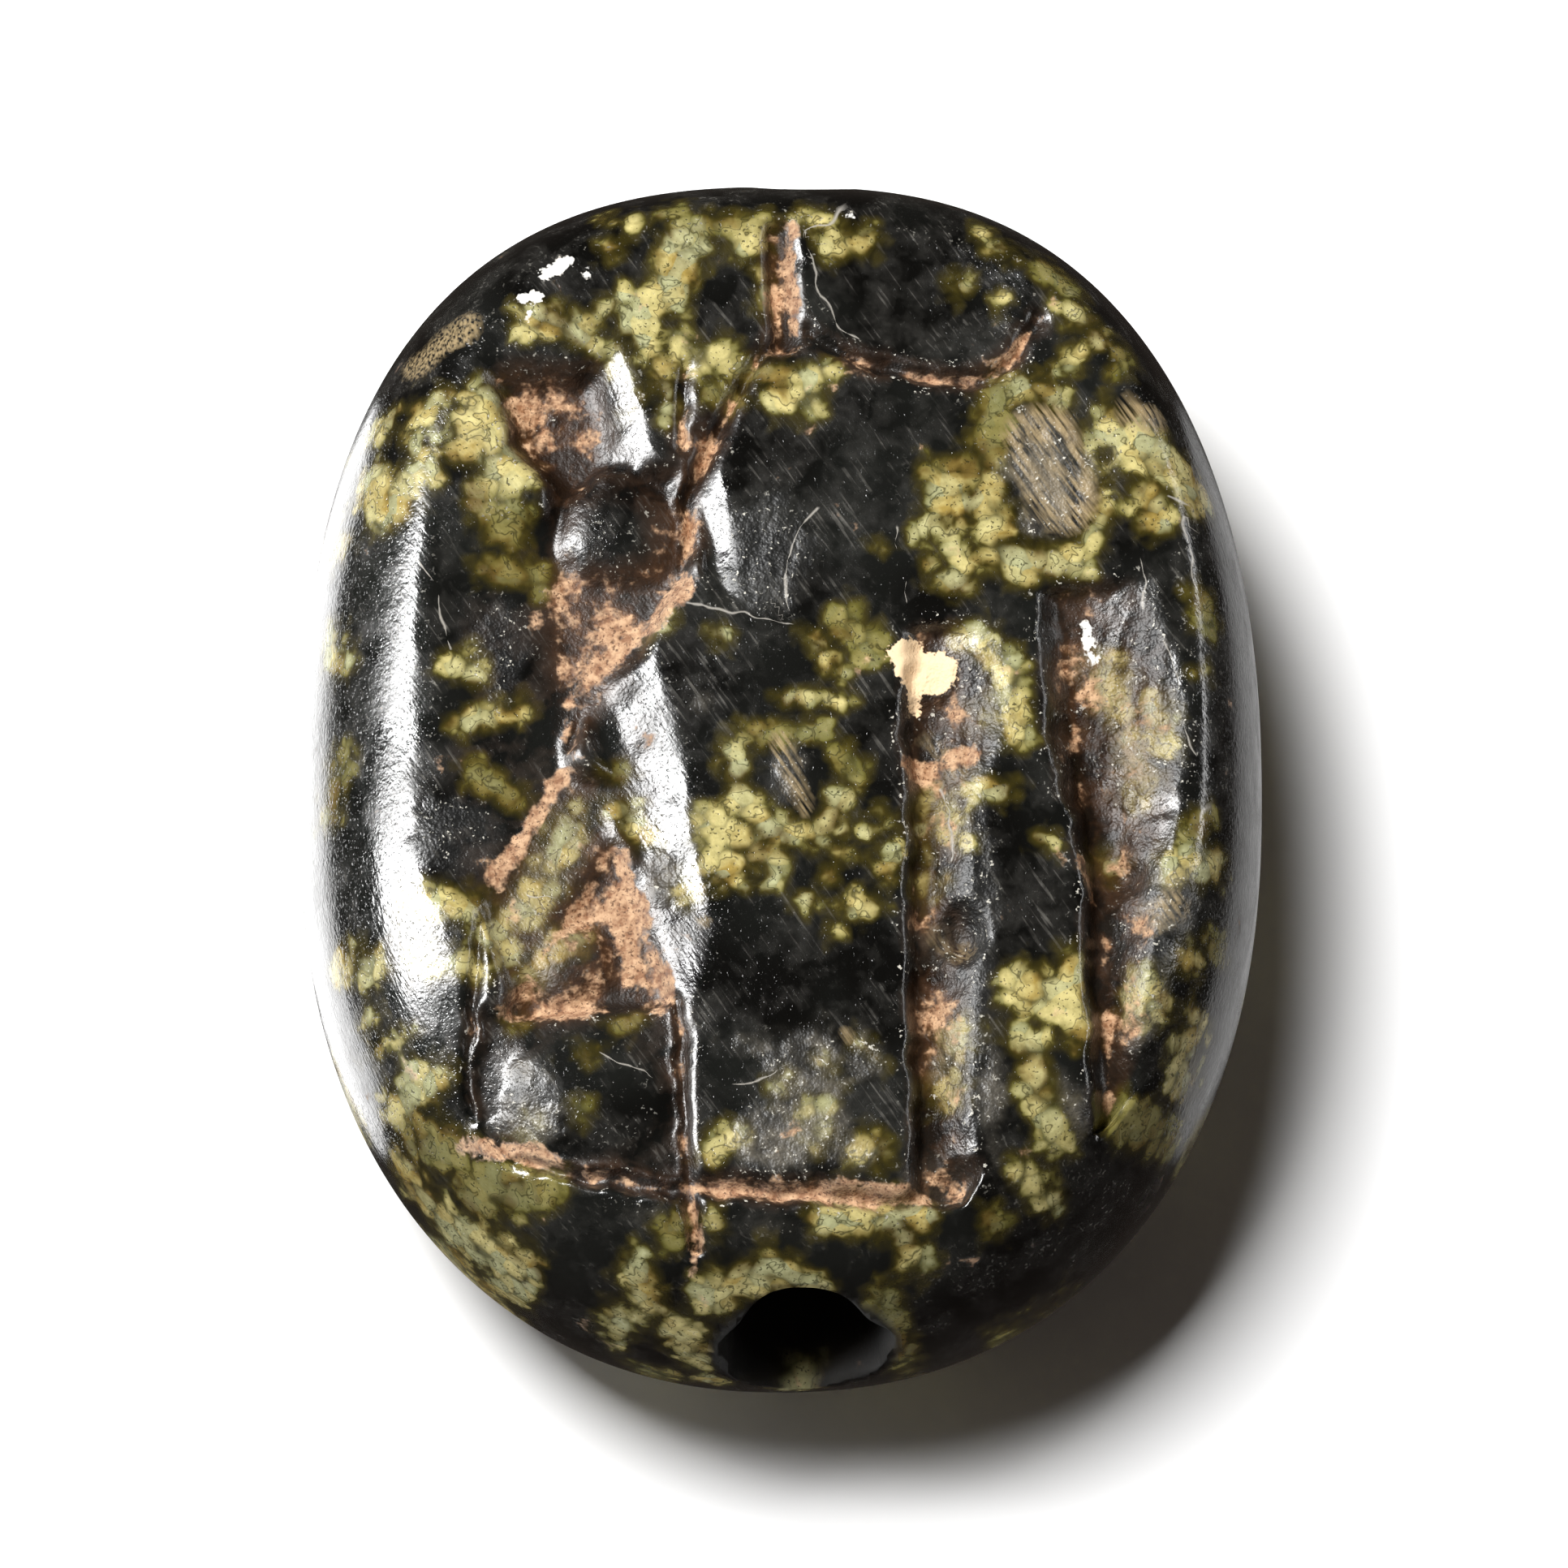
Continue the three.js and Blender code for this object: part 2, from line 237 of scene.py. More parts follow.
# The seated figure: a hollowed head pocket, its face as a bead, then the back, neck, flank, skirt and lap.
hollow([(-0.58, 0.6, 0.8), (-0.4, 0.6, 0.9), (-0.36, 0.46, 0.9), (-0.44, 0.41, 0.9), (-0.54, 0.49, 1)], 0.65)
hollow([(-0.4, 0.6, 0.9), (-0.34, 0.65, 0), (-0.25, 0.44, 0), (-0.36, 0.46, 0.9)], 0.1)
hollow([(-0.62, 0.64, 0), (-0.58, 0.59, 0.6), (-0.4, 0.59, 0.6), (-0.34, 0.65, 0)], 0.3)
face_bead = mound(-0.34, 0.35, 0.12, 0.095, 0.05, 0.5)
hollow([(-0.47, 0.42, 0.6), (-0.22, 0.44, 0.4), (-0.2, 0.26, 0.55), (-0.46, 0.22, 0.6)], 0.3, face_bead)
hollow([(-0.46, 0.26, 0.65), (-0.21, 0.27, 0.6), (-0.31, 0.13, 0.5), (-0.44, 0.01, 0.55)], 0.5)
back = [
    (-0.74, 0.3, 0), (-0.5, 0.37, 0.2), (-0.46, 0.37, 0.5), (-0.45, 0.18, 0.55), (-0.44, -0.06, 0.55),
    (-0.55, -0.18, 0.55), (-0.6, -0.27, 0.3), (-0.74, -0.25, 0), (-0.79, 0.03, 0),
]
hollow(back, 0.1)
flank_foot = [
    (-0.36, 0.09, 0.4), (-0.325, 0, 0.45), (-0.265, -0.1, 0.35), (-0.215, -0.2, 0.22), (-0.165, -0.29, 0.1),
]
flank_lip = [(-0.145, -0.28, 0), (-0.178, -0.17, 0), (-0.2, -0.05, 0), (-0.22, 0.05, 0)]
front = [(-0.41, 0.04, 0.45), (-0.33, -0.09, 0.5), (-0.25, -0.44, 0.35), (-0.235, -0.48, 0.22)]
hollow(front + flank_foot[::-1], 0.1)
hollow([(-0.165, -0.29, 0.1), (-0.235, -0.48, 0.22), (-0.195, -0.49, 0), (-0.12, -0.31, 0)])
hollow([(-0.28, 0.17, 0)] + flank_foot + flank_lip, 0.1)
skirt = [
    (-0.44, -0.05, 0.55), (-0.34, -0.08, 0.5), (-0.34, -0.19, 0.4), (-0.55, -0.44, 0.3), (-0.6, -0.28, 0.5),
]
hollow(skirt, 0.3)
knee = mound(-0.44, -0.37, 0.09, 0.07, 0.25, 0.8)
hollow([(-0.34, -0.17, 0.6), (-0.56, -0.46, 0.8), (-0.22, -0.44, 0.75)], 0.6, knee)

# The stool that the figure sits on, a sunken box with a swelling in it, and the ground line below.
swelling = mound(-0.4, -0.6, 0.17, 0.12, 0, 0.4)
stool = [(-0.61, -0.46, 0.35), (-0.22, -0.455, 0.35), (-0.195, -0.73, 0.4), (-0.62, -0.67, 0.3)]
hollow(stool, 0.1, swelling)
groove([(-0.61, -0.28, 0.7, 0.25), (-0.63, -0.46, 0.7, 0.35), (-0.64, -0.67, 0.7, 0.35)], earth=0.4)
right_edge = [
    (-0.215, -0.43, 0.9, 0.5), (-0.2, -0.58, 0.9, 0.5), (-0.19, -0.74, 0.9, 0.5), (-0.17, -0.86, 1.2, 0.35),
]
groove(right_edge, earth=0.45)
ground = [
    (-0.65, -0.655, 0.7, 0.2), (-0.44, -0.718, 1.1, 0.5), (-0.19, -0.745, 1.1, 0.5),
    (0.06, -0.755, 1.2, 0.5), (0.25, -0.77, 1.2, 0.45), (0.38, -0.735, 1.3, 0.3),
]
groove(ground, earth=0.6)

# The two uprights at the right, wheel-cut with a steep left wall and drilled knobs.
near_upright = [
    (0.345, 0.18, 4.4, 0.4), (0.35, 0.04, 5.2, 0.7), (0.325, -0.12, 3, 0.75), (0.325, -0.42, 2.9, 0.8),
    (0.33, -0.75, 3, 0.8),
]
far_upright = [
    (0.65, 0.25, 5.6, 0.5), (0.69, 0.03, 6.8, 0.95), (0.7, -0.2, 4.2, 1), (0.69, -0.45, 2.6, 0.9),
    (0.69, -0.67, 2.3, 0.7),
]
upright_lean = -0.8
upright_earth = 0.36
groove(near_upright, upright_lean, upright_earth)
groove(far_upright, upright_lean, upright_earth)
dish(0.35, -0.33, 0.075, 0.06, 0.85, 0.2)
dish(0.335, -0.735, 0.07, 0.055, 0.8, 0.2, 0.6)
dish(0.69, -0.23, 0.065, 0.052, 1, 0.2)

# The emblems above: a scooped disc with a line under it, a short post, the collar and the bevel beside it.
dish(0.285, 0.77, 0.225, 0.155, 0.32, 0.75)
under_line = [
    (0.05, 0.68, 0.8, 0.35), (0.2, 0.624, 1, 0.45), (0.38, 0.6, 1, 0.45), (0.49, 0.64, 0.9, 0.4),
    (0.53, 0.71, 0.7, 0.3),
]
groove(under_line, earth=0.7)
groove([(0, 0.86, 1.6, 0.4), (0.01, 0.65, 1.9, 0.6)], -0.6, 0.7)
collar = [
    (-0.03, 0.65, 0.6, 0.3), (-0.13, 0.51, 0.9, 0.5), (-0.19, 0.4, 1.2, 0.6), (-0.2, 0.31, 1.2, 0.6),
    (-0.26, 0.23, 1.4, 0.6), (-0.37, 0.13, 1.5, 0.6), (-0.44, -0.02, 0.9, 0.6),
]
groove(collar, earth=0.65)
groove([(-0.2, 0.62, 0.6, 0.25), (-0.205, 0.48, 0.8, 0.35)], earth=0.7)
groove([(-0.155, 0.51, 1.2, 0.2), (-0.145, 0.36, 1.7, 0.35), (-0.1, 0.24, 1.2, 0.2)], -0.8)
dish(0.555, 0.45, 0.14, 0.14, 0.15)


def soften(values, passes):
    """Spreads values over the neighbouring corners of the grid."""
    for step in range(passes):
        padded = np.pad(values, 1, mode="edge")
        around = padded[:-2, 1:-1] + padded[2:, 1:-1] + padded[1:-1, :-2] + padded[1:-1, 2:]
        values = (values * 4 + around) / 8
    return values


cut = np.maximum(soften(np.maximum.reduce(broad_depths), 10), soften(np.maximum.reduce(fine_depths), 3))
earth = soften(np.maximum.reduce(earth_levels), 3)

# Wear on the face, as the stone shows it: rough ground where it bruised, the striations that the tools left
# in the cuts, a flat scrape, a crust of lime, and the gentle waves of a face polished by hand.
# Each place is u, v and the half sizes across and along in mm; a tool mark has its slant in degrees too.
bruises = [
    (0.55, 0.45, 0.9, 1.05), (0.02, -0.07, 0.35, 0.7), (-0.89, 0.28, 0.45, 0.8), (0.05, -0.54, 1.4, 0.65),
    (0.03, -0.67, 1.4, 0.6), (0.33, -0.34, 0.5, 0.6), (0.81, -0.29, 0.8, 0.8), (0.74, -0.48, 0.5, 0.5),
    (0.74, -0.61, 0.7, 0.65), (0.03, -0.86, 1.4, 0.65), (-0.19, -0.84, 0.6, 0.5), (0.17, -0.88, 0.6, 0.5),
    (0.43, -0.57, 0.3, 1.6), (-0.32, -0.8, 0.9, 0.5), (-0.54, -0.64, 0.8, 0.5), (-0.71, -0.64, 0.6, 0.35),
    (0.76, 0.54, 0.45, 0.4), (-0.16, 0.05, 0.3, 0.25), (-0.24, -0.24, 0.4, 0.8), (-0.53, -0.61, 0.5, 0.8),
    (0.6, -0.62, 0.4, 0.65), (0.32, -0.73, 0.65, 0.5), (0.49, -0.75, 0.6, 0.4), (0.37, 0.05, 0.4, 0.6),
]
tool_marks = [
    (-0.58, 0.15, 0.6, 1.1, 25), (-0.65, -0.17, 0.85, 0.7, 18), (-0.03, 0.3, 0.8, 1.2, 78),
    (0.72, 0.24, 0.5, 0.3, 82), (0.55, 0.45, 0.9, 1.0, -48), (0.02, -0.07, 0.35, 0.7, -65),
    (-0.03, -0.67, 0.6, 0.7, -72), (0.81, -0.29, 0.8, 0.7, -20), (0.37, -0.3, 0.7, 4.6, 90),
    (0.74, -0.35, 0.6, 3.2, 90), (0.38, 0.06, 1, 1.2, 85), (0.72, 0.06, 1.1, 1.8, 80),
    (-0.5, 0.55, 0.7, 0.4, 80),
]
bruise_height = 0.07 * mm
mark_height = 0.03 * mm
wave_height = 0.02 * mm
crust_height = 0.1 * mm
crust = (0.3, 0.1, 0.54, 0.46)


def patch(place, ragged=0.0):
    """Millimetres inside a rounded patch, whose edge wanders by a ragged share of its size."""
    u, v, across, along = place[:4]
    out = np.hypot((x - u * half_width) / (across * mm), (y - v * half_length) / (along * mm))
    out = out + ragged * (swell(0.5 * mm, 11) + 0.6 * swell(0.22 * mm, 12))
    return (1 - out) * min(across, along)


rough = smooth(0, 0.35, np.maximum.reduce([patch(place, 0.35) for place in bruises]))
grit = 0.55 * swell(0.24 * mm, 21) + 0.45 * swell(0.13 * mm, 22)
relief = -bruise_height * rough * np.maximum(-0.35, grit) * (0.7 + 0.3 * swell(0.9 * mm, 23))
marked = np.zeros(x.shape)
for place in tool_marks:
    ridges = swell(0.16 * mm, 31, place[4], 9) + 0.5 * swell(0.09 * mm, 32, place[4], 7)
    strength = smooth(-0.05, 0.3, patch(place, 0.2))
    relief = relief + mark_height * strength * ridges
    marked = np.maximum(marked, strength)
relief = relief + wave_height * (swell(1.9 * mm, 41) + 0.4 * swell(0.7 * mm, 42))
relief = relief + crust_height * smooth(0, 0.1, patch(crust, 0.06)) * (1 + 0.15 * swell(0.3 * mm, 43))
z = face_height(x, y) - cut + relief * within
# How far each point stands proud of its neighbours, most on the convex lips of the cuts, where the material
# paints white flecks that are partly chips and partly painted glints.
lip = np.clip((z - soften(z, 10)) / (0.02 * mm), 0, 1)

# White cracks and scratches, each a line of places that is a hair wide in the stone.
cracks = [
    [(0.06, 0.85), (0.1, 0.87), (0.15, 0.92), (0.22, 0.93)],
    [(0.06, 0.82), (0.08, 0.76), (0.11, 0.7), (0.16, 0.68)],
    [(0.24, 0.34), (0.25, 0.28), (0.26, 0.21)],
    [(0.33, -0.09), (0.34, -0.14), (0.35, -0.18), (0.34, -0.23)],
    [(0.81, 0.4), (0.85, 0.38), (0.87, 0.36), (0.9, 0.34)],
    [(0.83, 0.37), (0.84, 0.3), (0.86, 0.24)],
    [(0.89, 0.23), (0.91, 0.18), (0.91, 0.12)],
    [(0.93, -0.01), (0.92, -0.06), (0.9, -0.1), (0.87, -0.12), (0.86, -0.16)],
    [(0.74, 0.29), (0.75, 0.23)],
    [(0.79, 0.15), (0.82, 0.08), (0.83, 0.03), (0.85, -0.03)],
    [(0.66, -0.67), (0.59, -0.74), (0.56, -0.79)],
    [(0.07, 0.37), (0.01, 0.3), (0.02, 0.19)],
    [(-0.19, 0.22), (-0.07, 0.2), (0.01, 0.18)],
    [(-0.51, -0.26), (-0.46, -0.26)],
    [(-0.76, 0.32), (-0.71, 0.26), (-0.69, 0.2), (-0.68, 0.16)],
    [(-0.36, -0.53), (-0.29, -0.55), (-0.27, -0.56)],
    [(-0.1, -0.58), (-0.04, -0.57), (0.02, -0.55)],
]
crack_side = np.full(x.shape, 1.0)
crack_near = np.zeros(x.shape)
for stations in cracks:
    along, side, past = beside(stations)
    near = 1 - smooth(0.15 * mm, 0.3 * mm, np.hypot(side, past))
    crack_side = np.where(near > crack_near, side / mm, crack_side)
    crack_near = np.maximum(crack_near, near * (1 - smooth(0, 0.12 * mm, past)))

# The mesh: the grid of the face, then rings down the shoulder and round the back to the flat spot.
corner_rows = np.arange((cells_across + 1) * (cells_along + 1)).reshape(cells_along + 1, cells_across + 1)
quads = [corner_rows[:-1, :-1], corner_rows[:-1, 1:], corner_rows[1:, 1:], corner_rows[1:, :-1]]
faces = np.stack(quads, -1).reshape(-1, 4).tolist()
points = np.stack([x, y, z], -1).reshape(-1, 3)
rim = [corner_rows[0, :-1], corner_rows[:-1, -1], corner_rows[-1, :0:-1], corner_rows[:0:-1, 0]]
rim = np.concatenate(rim)
ring_angles = turn.reshape(-1)[rim]


def strip(upper, lower):
    """Faces between two rings, the lower one with as many corners as the upper or half as many."""
    next_lower = np.roll(lower, -1)
    if len(upper) == len(lower):
        return np.stack([upper, lower, next_lower, np.roll(upper, -1)], -1).tolist()
    first, middle, last = upper[0::2], upper[1::2], np.roll(upper[0::2], -1)
    made = [np.stack(corners, -1) for corners in
            ((first, lower, middle), (middle, lower, next_lower), (middle, next_lower, last))]
    return np.concatenate(made).tolist()


side_rings = 20
back_rings = 22
half_rings = 12
ring = rim
for step in range(1, side_rings + back_rings + 1):
    thinned = step in (1, side_rings + half_rings)
    ring_angles = ring_angles[0::2] if thinned else ring_angles
    if step <= side_rings:
        lean = math.radians(30 + 60 * step / side_rings)
        share = 1 - (1 - math.sin(lean)) * shoulder_reach(ring_angles) / outline_reach(ring_angles)
        full = face_top - girdle_height - face_crown * share**2
        ring_z = girdle_height + full * math.cos(lean)
    else:
        lean = math.radians(90 - 90 * (step - side_rings) / back_rings)
        share = 1 - (1 - math.sin(lean)) * back_shoulder / outline_reach(ring_angles)
        rise = (1 - math.sin(lean) ** back_fullness) ** (1 / back_fullness)
        ring_z = np.full(ring_angles.shape, girdle_height * (1 - rise))
    ring_out = share * outline_reach(ring_angles)
    lower = np.arange(len(points), len(points) + len(ring_angles))
    ring_points = np.stack([ring_out * np.cos(ring_angles), ring_out * np.sin(ring_angles), ring_z], -1)
    points = np.vstack([points, ring_points])
    faces = faces + strip(ring, lower)
    ring = lower
points = np.vstack([points, [0, 0, 0]])
faces = faces + [(corner, len(points) - 1, following) for corner, following in zip(ring, np.roll(ring, -1))]

gem_mesh = bpy.data.meshes.new("engraved_gem_stone")
gem_mesh.from_pydata(points.tolist(), [], faces)
gem = bpy.data.objects.new("engraved_gem_stone", gem_mesh)
bpy.context.collection.objects.link(gem)


def record(mesh, name, values):
    """Keeps one number for every corner of a mesh, for its material to read."""
    whole = np.pad(np.ravel(values), (0, len(mesh.vertices) - np.size(values)))
    mesh.attributes.new(name, "FLOAT", "POINT").data.foreach_set("value", whole.astype(np.float32))


for name, values in (("earth", earth), ("stain", soften(earth, 24)), ("rough", rough), ("marked", marked),
                     ("lip", lip), ("crack_side", crack_side), ("crack_near", crack_near)):
    record(gem_mesh, name, values * within)

# The bore: drilled from end to end. The cord has worn its two mouths to a soft lip, and small chips have
# broken their upper edges to a low arch.
bore_radius = 1.3 * mm
bore_height = 5.3 * mm
bore_offset = 0.4 * mm
mouth_wear = 0.3 * mm
mouth_depth = 2.4 * mm
arch_height = 1.2 * mm
broad_chips = 0.15 * mm
small_chips = 0.12 * mm
mouth_shade = 0.3 * mm
bore_corners = 96
mouth_steps = 12
bore_turn = np.linspace(0, 2 * math.pi, bore_corners, endpoint=False)
outward = np.linspace(0, 1, mouth_steps)
stations = half_length - mouth_depth + 2 * mouth_depth * outward
radii = bore_radius + 4 * mouth_wear * outward**3
stations = np.concatenate([-stations[::-1], stations])
chips = arch_height * np.maximum(0, np.sin(bore_turn)) ** 6 + broad_chips * np.sin(3 * bore_turn + 1)
chips = chips + small_chips * np.sin(7 * bore_turn)
radii = radii[:, None] + np.outer(outward, chips)
radii = np.concatenate([radii[::-1], radii])
bore_points = np.stack([bore_offset + radii * np.cos(bore_turn), np.outer(stations, np.ones(bore_corners)),
                        bore_height + radii * np.sin(bore_turn)], -1).reshape(-1, 3)
bore_faces = []
for station in range(len(stations) - 1):
    near_ring = np.arange(bore_corners) + station * bore_corners
    bore_faces = bore_faces + strip(near_ring, near_ring + bore_corners)
bore_faces.append(tuple(range(bore_corners)))
bore_faces.append(tuple(range(len(bore_points) - 1, len(bore_points) - bore_corners - 1, -1)))
drill_mesh = bpy.data.meshes.new("bore_drill")
drill_mesh.from_pydata(bore_points.tolist(), [], bore_faces)
drill = bpy.data.objects.new("bore_drill", drill_mesh)
bpy.context.collection.objects.link(drill)
drilled = gem.modifiers.new("bore", "BOOLEAN")
drilled.operation = "DIFFERENCE"
drilled.solver = "MANIFOLD"
drilled.object = drill
stone_mesh = bpy.data.meshes.new_from_object(gem.evaluated_get(bpy.context.evaluated_depsgraph_get()))
gem.modifiers.clear()
gem.data = stone_mesh
bpy.data.objects.remove(drill)
stone_mesh.shade_smooth()
stone_mesh.name = "engraved_gem_stone"

# The mottling of the serpentine: pale and olive grains set in a near-black ground, all through the stone.
# The patches on the face lie where the real ones do, laid out as short strokes from one place to another,
# and those of the sides and back are scattered. Each stroke is u, v, u, v and its half width in mm.
pale_strokes = [
    # Above the head
    (-0.36, 0.88, -0.36, 0.89, 0.13), (-0.31, 0.87, -0.3, 0.875, 0.09), (-0.36, 0.82, -0.33, 0.83, 0.12),
    (-0.33, 0.745, -0.355, 0.72, 0.13), (-0.2, 0.83, -0.24, 0.74, 0.4), (-0.27, 0.72, -0.29, 0.7, 0.35),
    (-0.29, 0.68, -0.25, 0.62, 0.2), (-0.25, 0.62, -0.235, 0.55, 0.2), (-0.22, 0.67, -0.2, 0.65, 0.2),
    (-0.17, 0.635, -0.12, 0.635, 0.25), (-0.08, 0.835, -0.05, 0.84, 0.28), (-0.035, 0.79, -0.03, 0.73, 0.1),
    (-0.02, 0.6, 0.09, 0.615, 0.18), (0, 0.565, 0.06, 0.565, 0.25), (-0.52, 0.705, -0.4, 0.68, 0.3),
    (-0.375, 0.68, -0.31, 0.6, 0.16), (-0.31, 0.6, -0.3, 0.55, 0.14),
    # The left shoulder
    (-0.87, 0.53, -0.79, 0.555, 0.25), (-0.76, 0.54, -0.69, 0.565, 0.26), (-0.61, 0.56, -0.64, 0.49, 0.42),
    (-0.6, 0.5, -0.56, 0.45, 0.38), (-0.6, 0.43, -0.53, 0.44, 0.28), (-0.75, 0.5, -0.73, 0.48, 0.25),
    (-0.84, 0.44, -0.8, 0.4, 0.48), (-0.93, 0.39, -0.92, 0.36, 0.3), (-0.78, 0.45, -0.76, 0.44, 0.22),
    (-0.72, 0.43, -0.71, 0.44, 0.12), (-0.94, 0.22, -0.91, 0.15, 0.2), (-0.64, 0.145, -0.63, 0.15, 0.12),
    (-0.67, 0.12, -0.63, 0.11, 0.2), (-0.66, 0.03, -0.54, 0.045, 0.2),
    # The band below the back, and the skirt and knee
    (-0.76, -0.27, -0.64, -0.29, 0.3), (-0.58, -0.3, -0.57, -0.35, 0.36), (-0.74, -0.37, -0.63, -0.38, 0.28),
    (-0.9, -0.34, -0.84, -0.36, 0.33), (-0.5, -0.39, -0.42, -0.33, 0.34), (-0.34, -0.12, -0.27, -0.16, 0.28),
    (-0.44, -0.15, -0.52, -0.28, 0.42), (-0.42, -0.12, -0.41, -0.12, 0.2),
    # The middle, with the ring round the rubbed spot
    (-0.15, -0.15, -0.07, -0.18, 0.33), (-0.13, -0.22, -0.03, -0.22, 0.36),
    (-0.19, -0.26, -0.17, -0.26, 0.22),
    (-0.1, -0.03, -0.09, -0.1, 0.22), (-0.09, -0.11, -0.02, -0.16, 0.24), (-0.02, -0.165, 0.07, -0.165, 0.22),
    (0.09, -0.15, 0.13, -0.1, 0.2), (0.12, 0.1, 0.125, 0.1, 0.1), (-0.28, 0.17, -0.275, 0.17, 0.12),
    (-0.25, 0.19, -0.23, 0.21, 0.09), (-0.13, 0.165, -0.125, 0.165, 0.12), (0.01, 0.06, 0.06, 0.063, 0.14),
    (0.1, 0.055, 0.13, 0.05, 0.09), (0.065, 0.16, 0.095, 0.125, 0.18),
    # The small grains beside the near upright
    (0.185, -0.13, 0.19, -0.13, 0.1), (0.2, -0.16, 0.23, -0.155, 0.08), (0.24, -0.18, 0.24, -0.185, 0.08),
    (0.17, -0.165, 0.175, -0.165, 0.08), (0.21, -0.19, 0.215, -0.19, 0.1), (0.2, -0.225, 0.235, -0.215, 0.11),
    (0.25, -0.2, 0.255, -0.2, 0.07), (0.17, -0.21, 0.175, -0.21, 0.07), (0.22, -0.245, 0.225, -0.245, 0.09),
    (0.12, -0.2, 0.1, -0.24, 0.11), (0.05, -0.275, 0.055, -0.275, 0.16), (0.15, -0.28, 0.18, -0.29, 0.2),
    (0.11, -0.325, 0.115, -0.325, 0.09), (0.09, -0.16, 0.125, -0.165, 0.08),
    # Round the disc, and the right shoulder
    (0.1, 0.83, 0.17, 0.84, 0.2), (0.04, 0.875, 0.09, 0.87, 0.15), (0.365, 0.76, 0.365, 0.765, 0.19),
    (0.455, 0.74, 0.46, 0.74, 0.1), (0.415, 0.86, 0.42, 0.86, 0.15), (0.435, 0.83, 0.465, 0.82, 0.1),
    (0.49, 0.81, 0.45, 0.84, 0.08), (0.6, 0.72, 0.66, 0.67, 0.2), (0.595, 0.63, 0.6, 0.63, 0.2),
    (0.545, 0.605, 0.62, 0.65, 0.1), (0.5, 0.59, 0.57, 0.57, 0.2), (0.43, 0.42, 0.44, 0.34, 0.35),
    (0.45, 0.31, 0.5, 0.28, 0.33), (0.5, 0.29, 0.6, 0.295, 0.33), (0.63, 0.5, 0.67, 0.4, 0.13),
    (0.67, 0.38, 0.64, 0.32, 0.17), (0.34, 0.42, 0.35, 0.39, 0.38), (0.285, 0.34, 0.32, 0.355, 0.15),
    (0.355, 0.33, 0.37, 0.36, 0.11), (0.3, 0.325, 0.3, 0.33, 0.09), (0.21, 0.315, 0.215, 0.315, 0.08),
    (0.355, 0.3, 0.39, 0.285, 0.17), (0.33, 0.26, 0.37, 0.25, 0.21), (0.31, 0.28, 0.315, 0.28, 0.12),
    (0.68, 0.55, 0.68, 0.51, 0.2), (0.73, 0.49, 0.86, 0.42, 0.42), (0.76, 0.4, 0.77, 0.37, 0.33),
    # The uprights and the right edge
    (0.38, 0.16, 0.46, 0.12, 0.26), (0.47, 0.1, 0.485, 0, 0.26), (0.4, -0.09, 0.45, -0.09, 0.22),
    (0.33, -0.1, 0.35, -0.16, 0.28), (0.37, -0.17, 0.38, -0.18, 0.14), (0.3, -0.1, 0.3, -0.26, 0.13),
    (0.335, -0.24, 0.34, -0.24, 0.13), (0.535, -0.175, 0.54, -0.175, 0.13), (0.665, 0.13, 0.69, 0.05, 0.36),
    (0.71, 0.01, 0.79, -0.01, 0.24), (0.76, 0.06, 0.79, 0.04, 0.24), (0.74, -0.11, 0.745, -0.11, 0.14),
    (0.665, -0.19, 0.67, -0.2, 0.26), (0.8, -0.22, 0.88, -0.2, 0.33), (0.83, -0.37, 0.84, -0.36, 0.24),
    (0.74, -0.42, 0.75, -0.44, 0.4), (0.85, -0.45, 0.82, -0.55, 0.26), (0.5, -0.42, 0.58, -0.44, 0.4),
    (0.6, -0.38, 0.61, -0.5, 0.27), (0.51, -0.5, 0.53, -0.6, 0.34), (0.53, -0.62, 0.56, -0.66, 0.25),
    (0.36, -0.5, 0.33, -0.6, 0.26),
    # Over and below the ground line
    (0.49, -0.72, 0.55, -0.75, 0.18), (0.16, -0.515, 0.2, -0.54, 0.1), (0.08, -0.55, 0.11, -0.56, 0.12),
    (0, -0.58, 0.02, -0.57, 0.15), (0.07, -0.62, 0.08, -0.68, 0.2), (0.16, -0.69, 0.19, -0.69, 0.26),
    (-0.14, -0.69, -0.1, -0.67, 0.24), (0.1, -0.79, 0.28, -0.79, 0.33), (0.25, -0.82, 0.27, -0.85, 0.26),
    (-0.02, -0.86, 0.07, -0.9, 0.28), (-0.14, -0.79, -0.14, -0.8, 0.14), (-0.14, -0.9, -0.05, -0.88, 0.32),
    (-0.22, -0.94, -0.17, -0.97, 0.22), (-0.3, -0.86, -0.27, -0.91, 0.27), (-0.34, -0.92, -0.33, -0.93, 0.22),
    (-0.79, -0.58, -0.71, -0.55, 0.32), (-0.85, -0.44, -0.845, -0.44, 0.09),
    (-0.84, -0.49, -0.76, -0.48, 0.08),
    (-0.79, -0.65, -0.69, -0.75, 0.3), (-0.68, -0.76, -0.52, -0.84, 0.3), (-0.6, -0.84, -0.53, -0.86, 0.18),
]
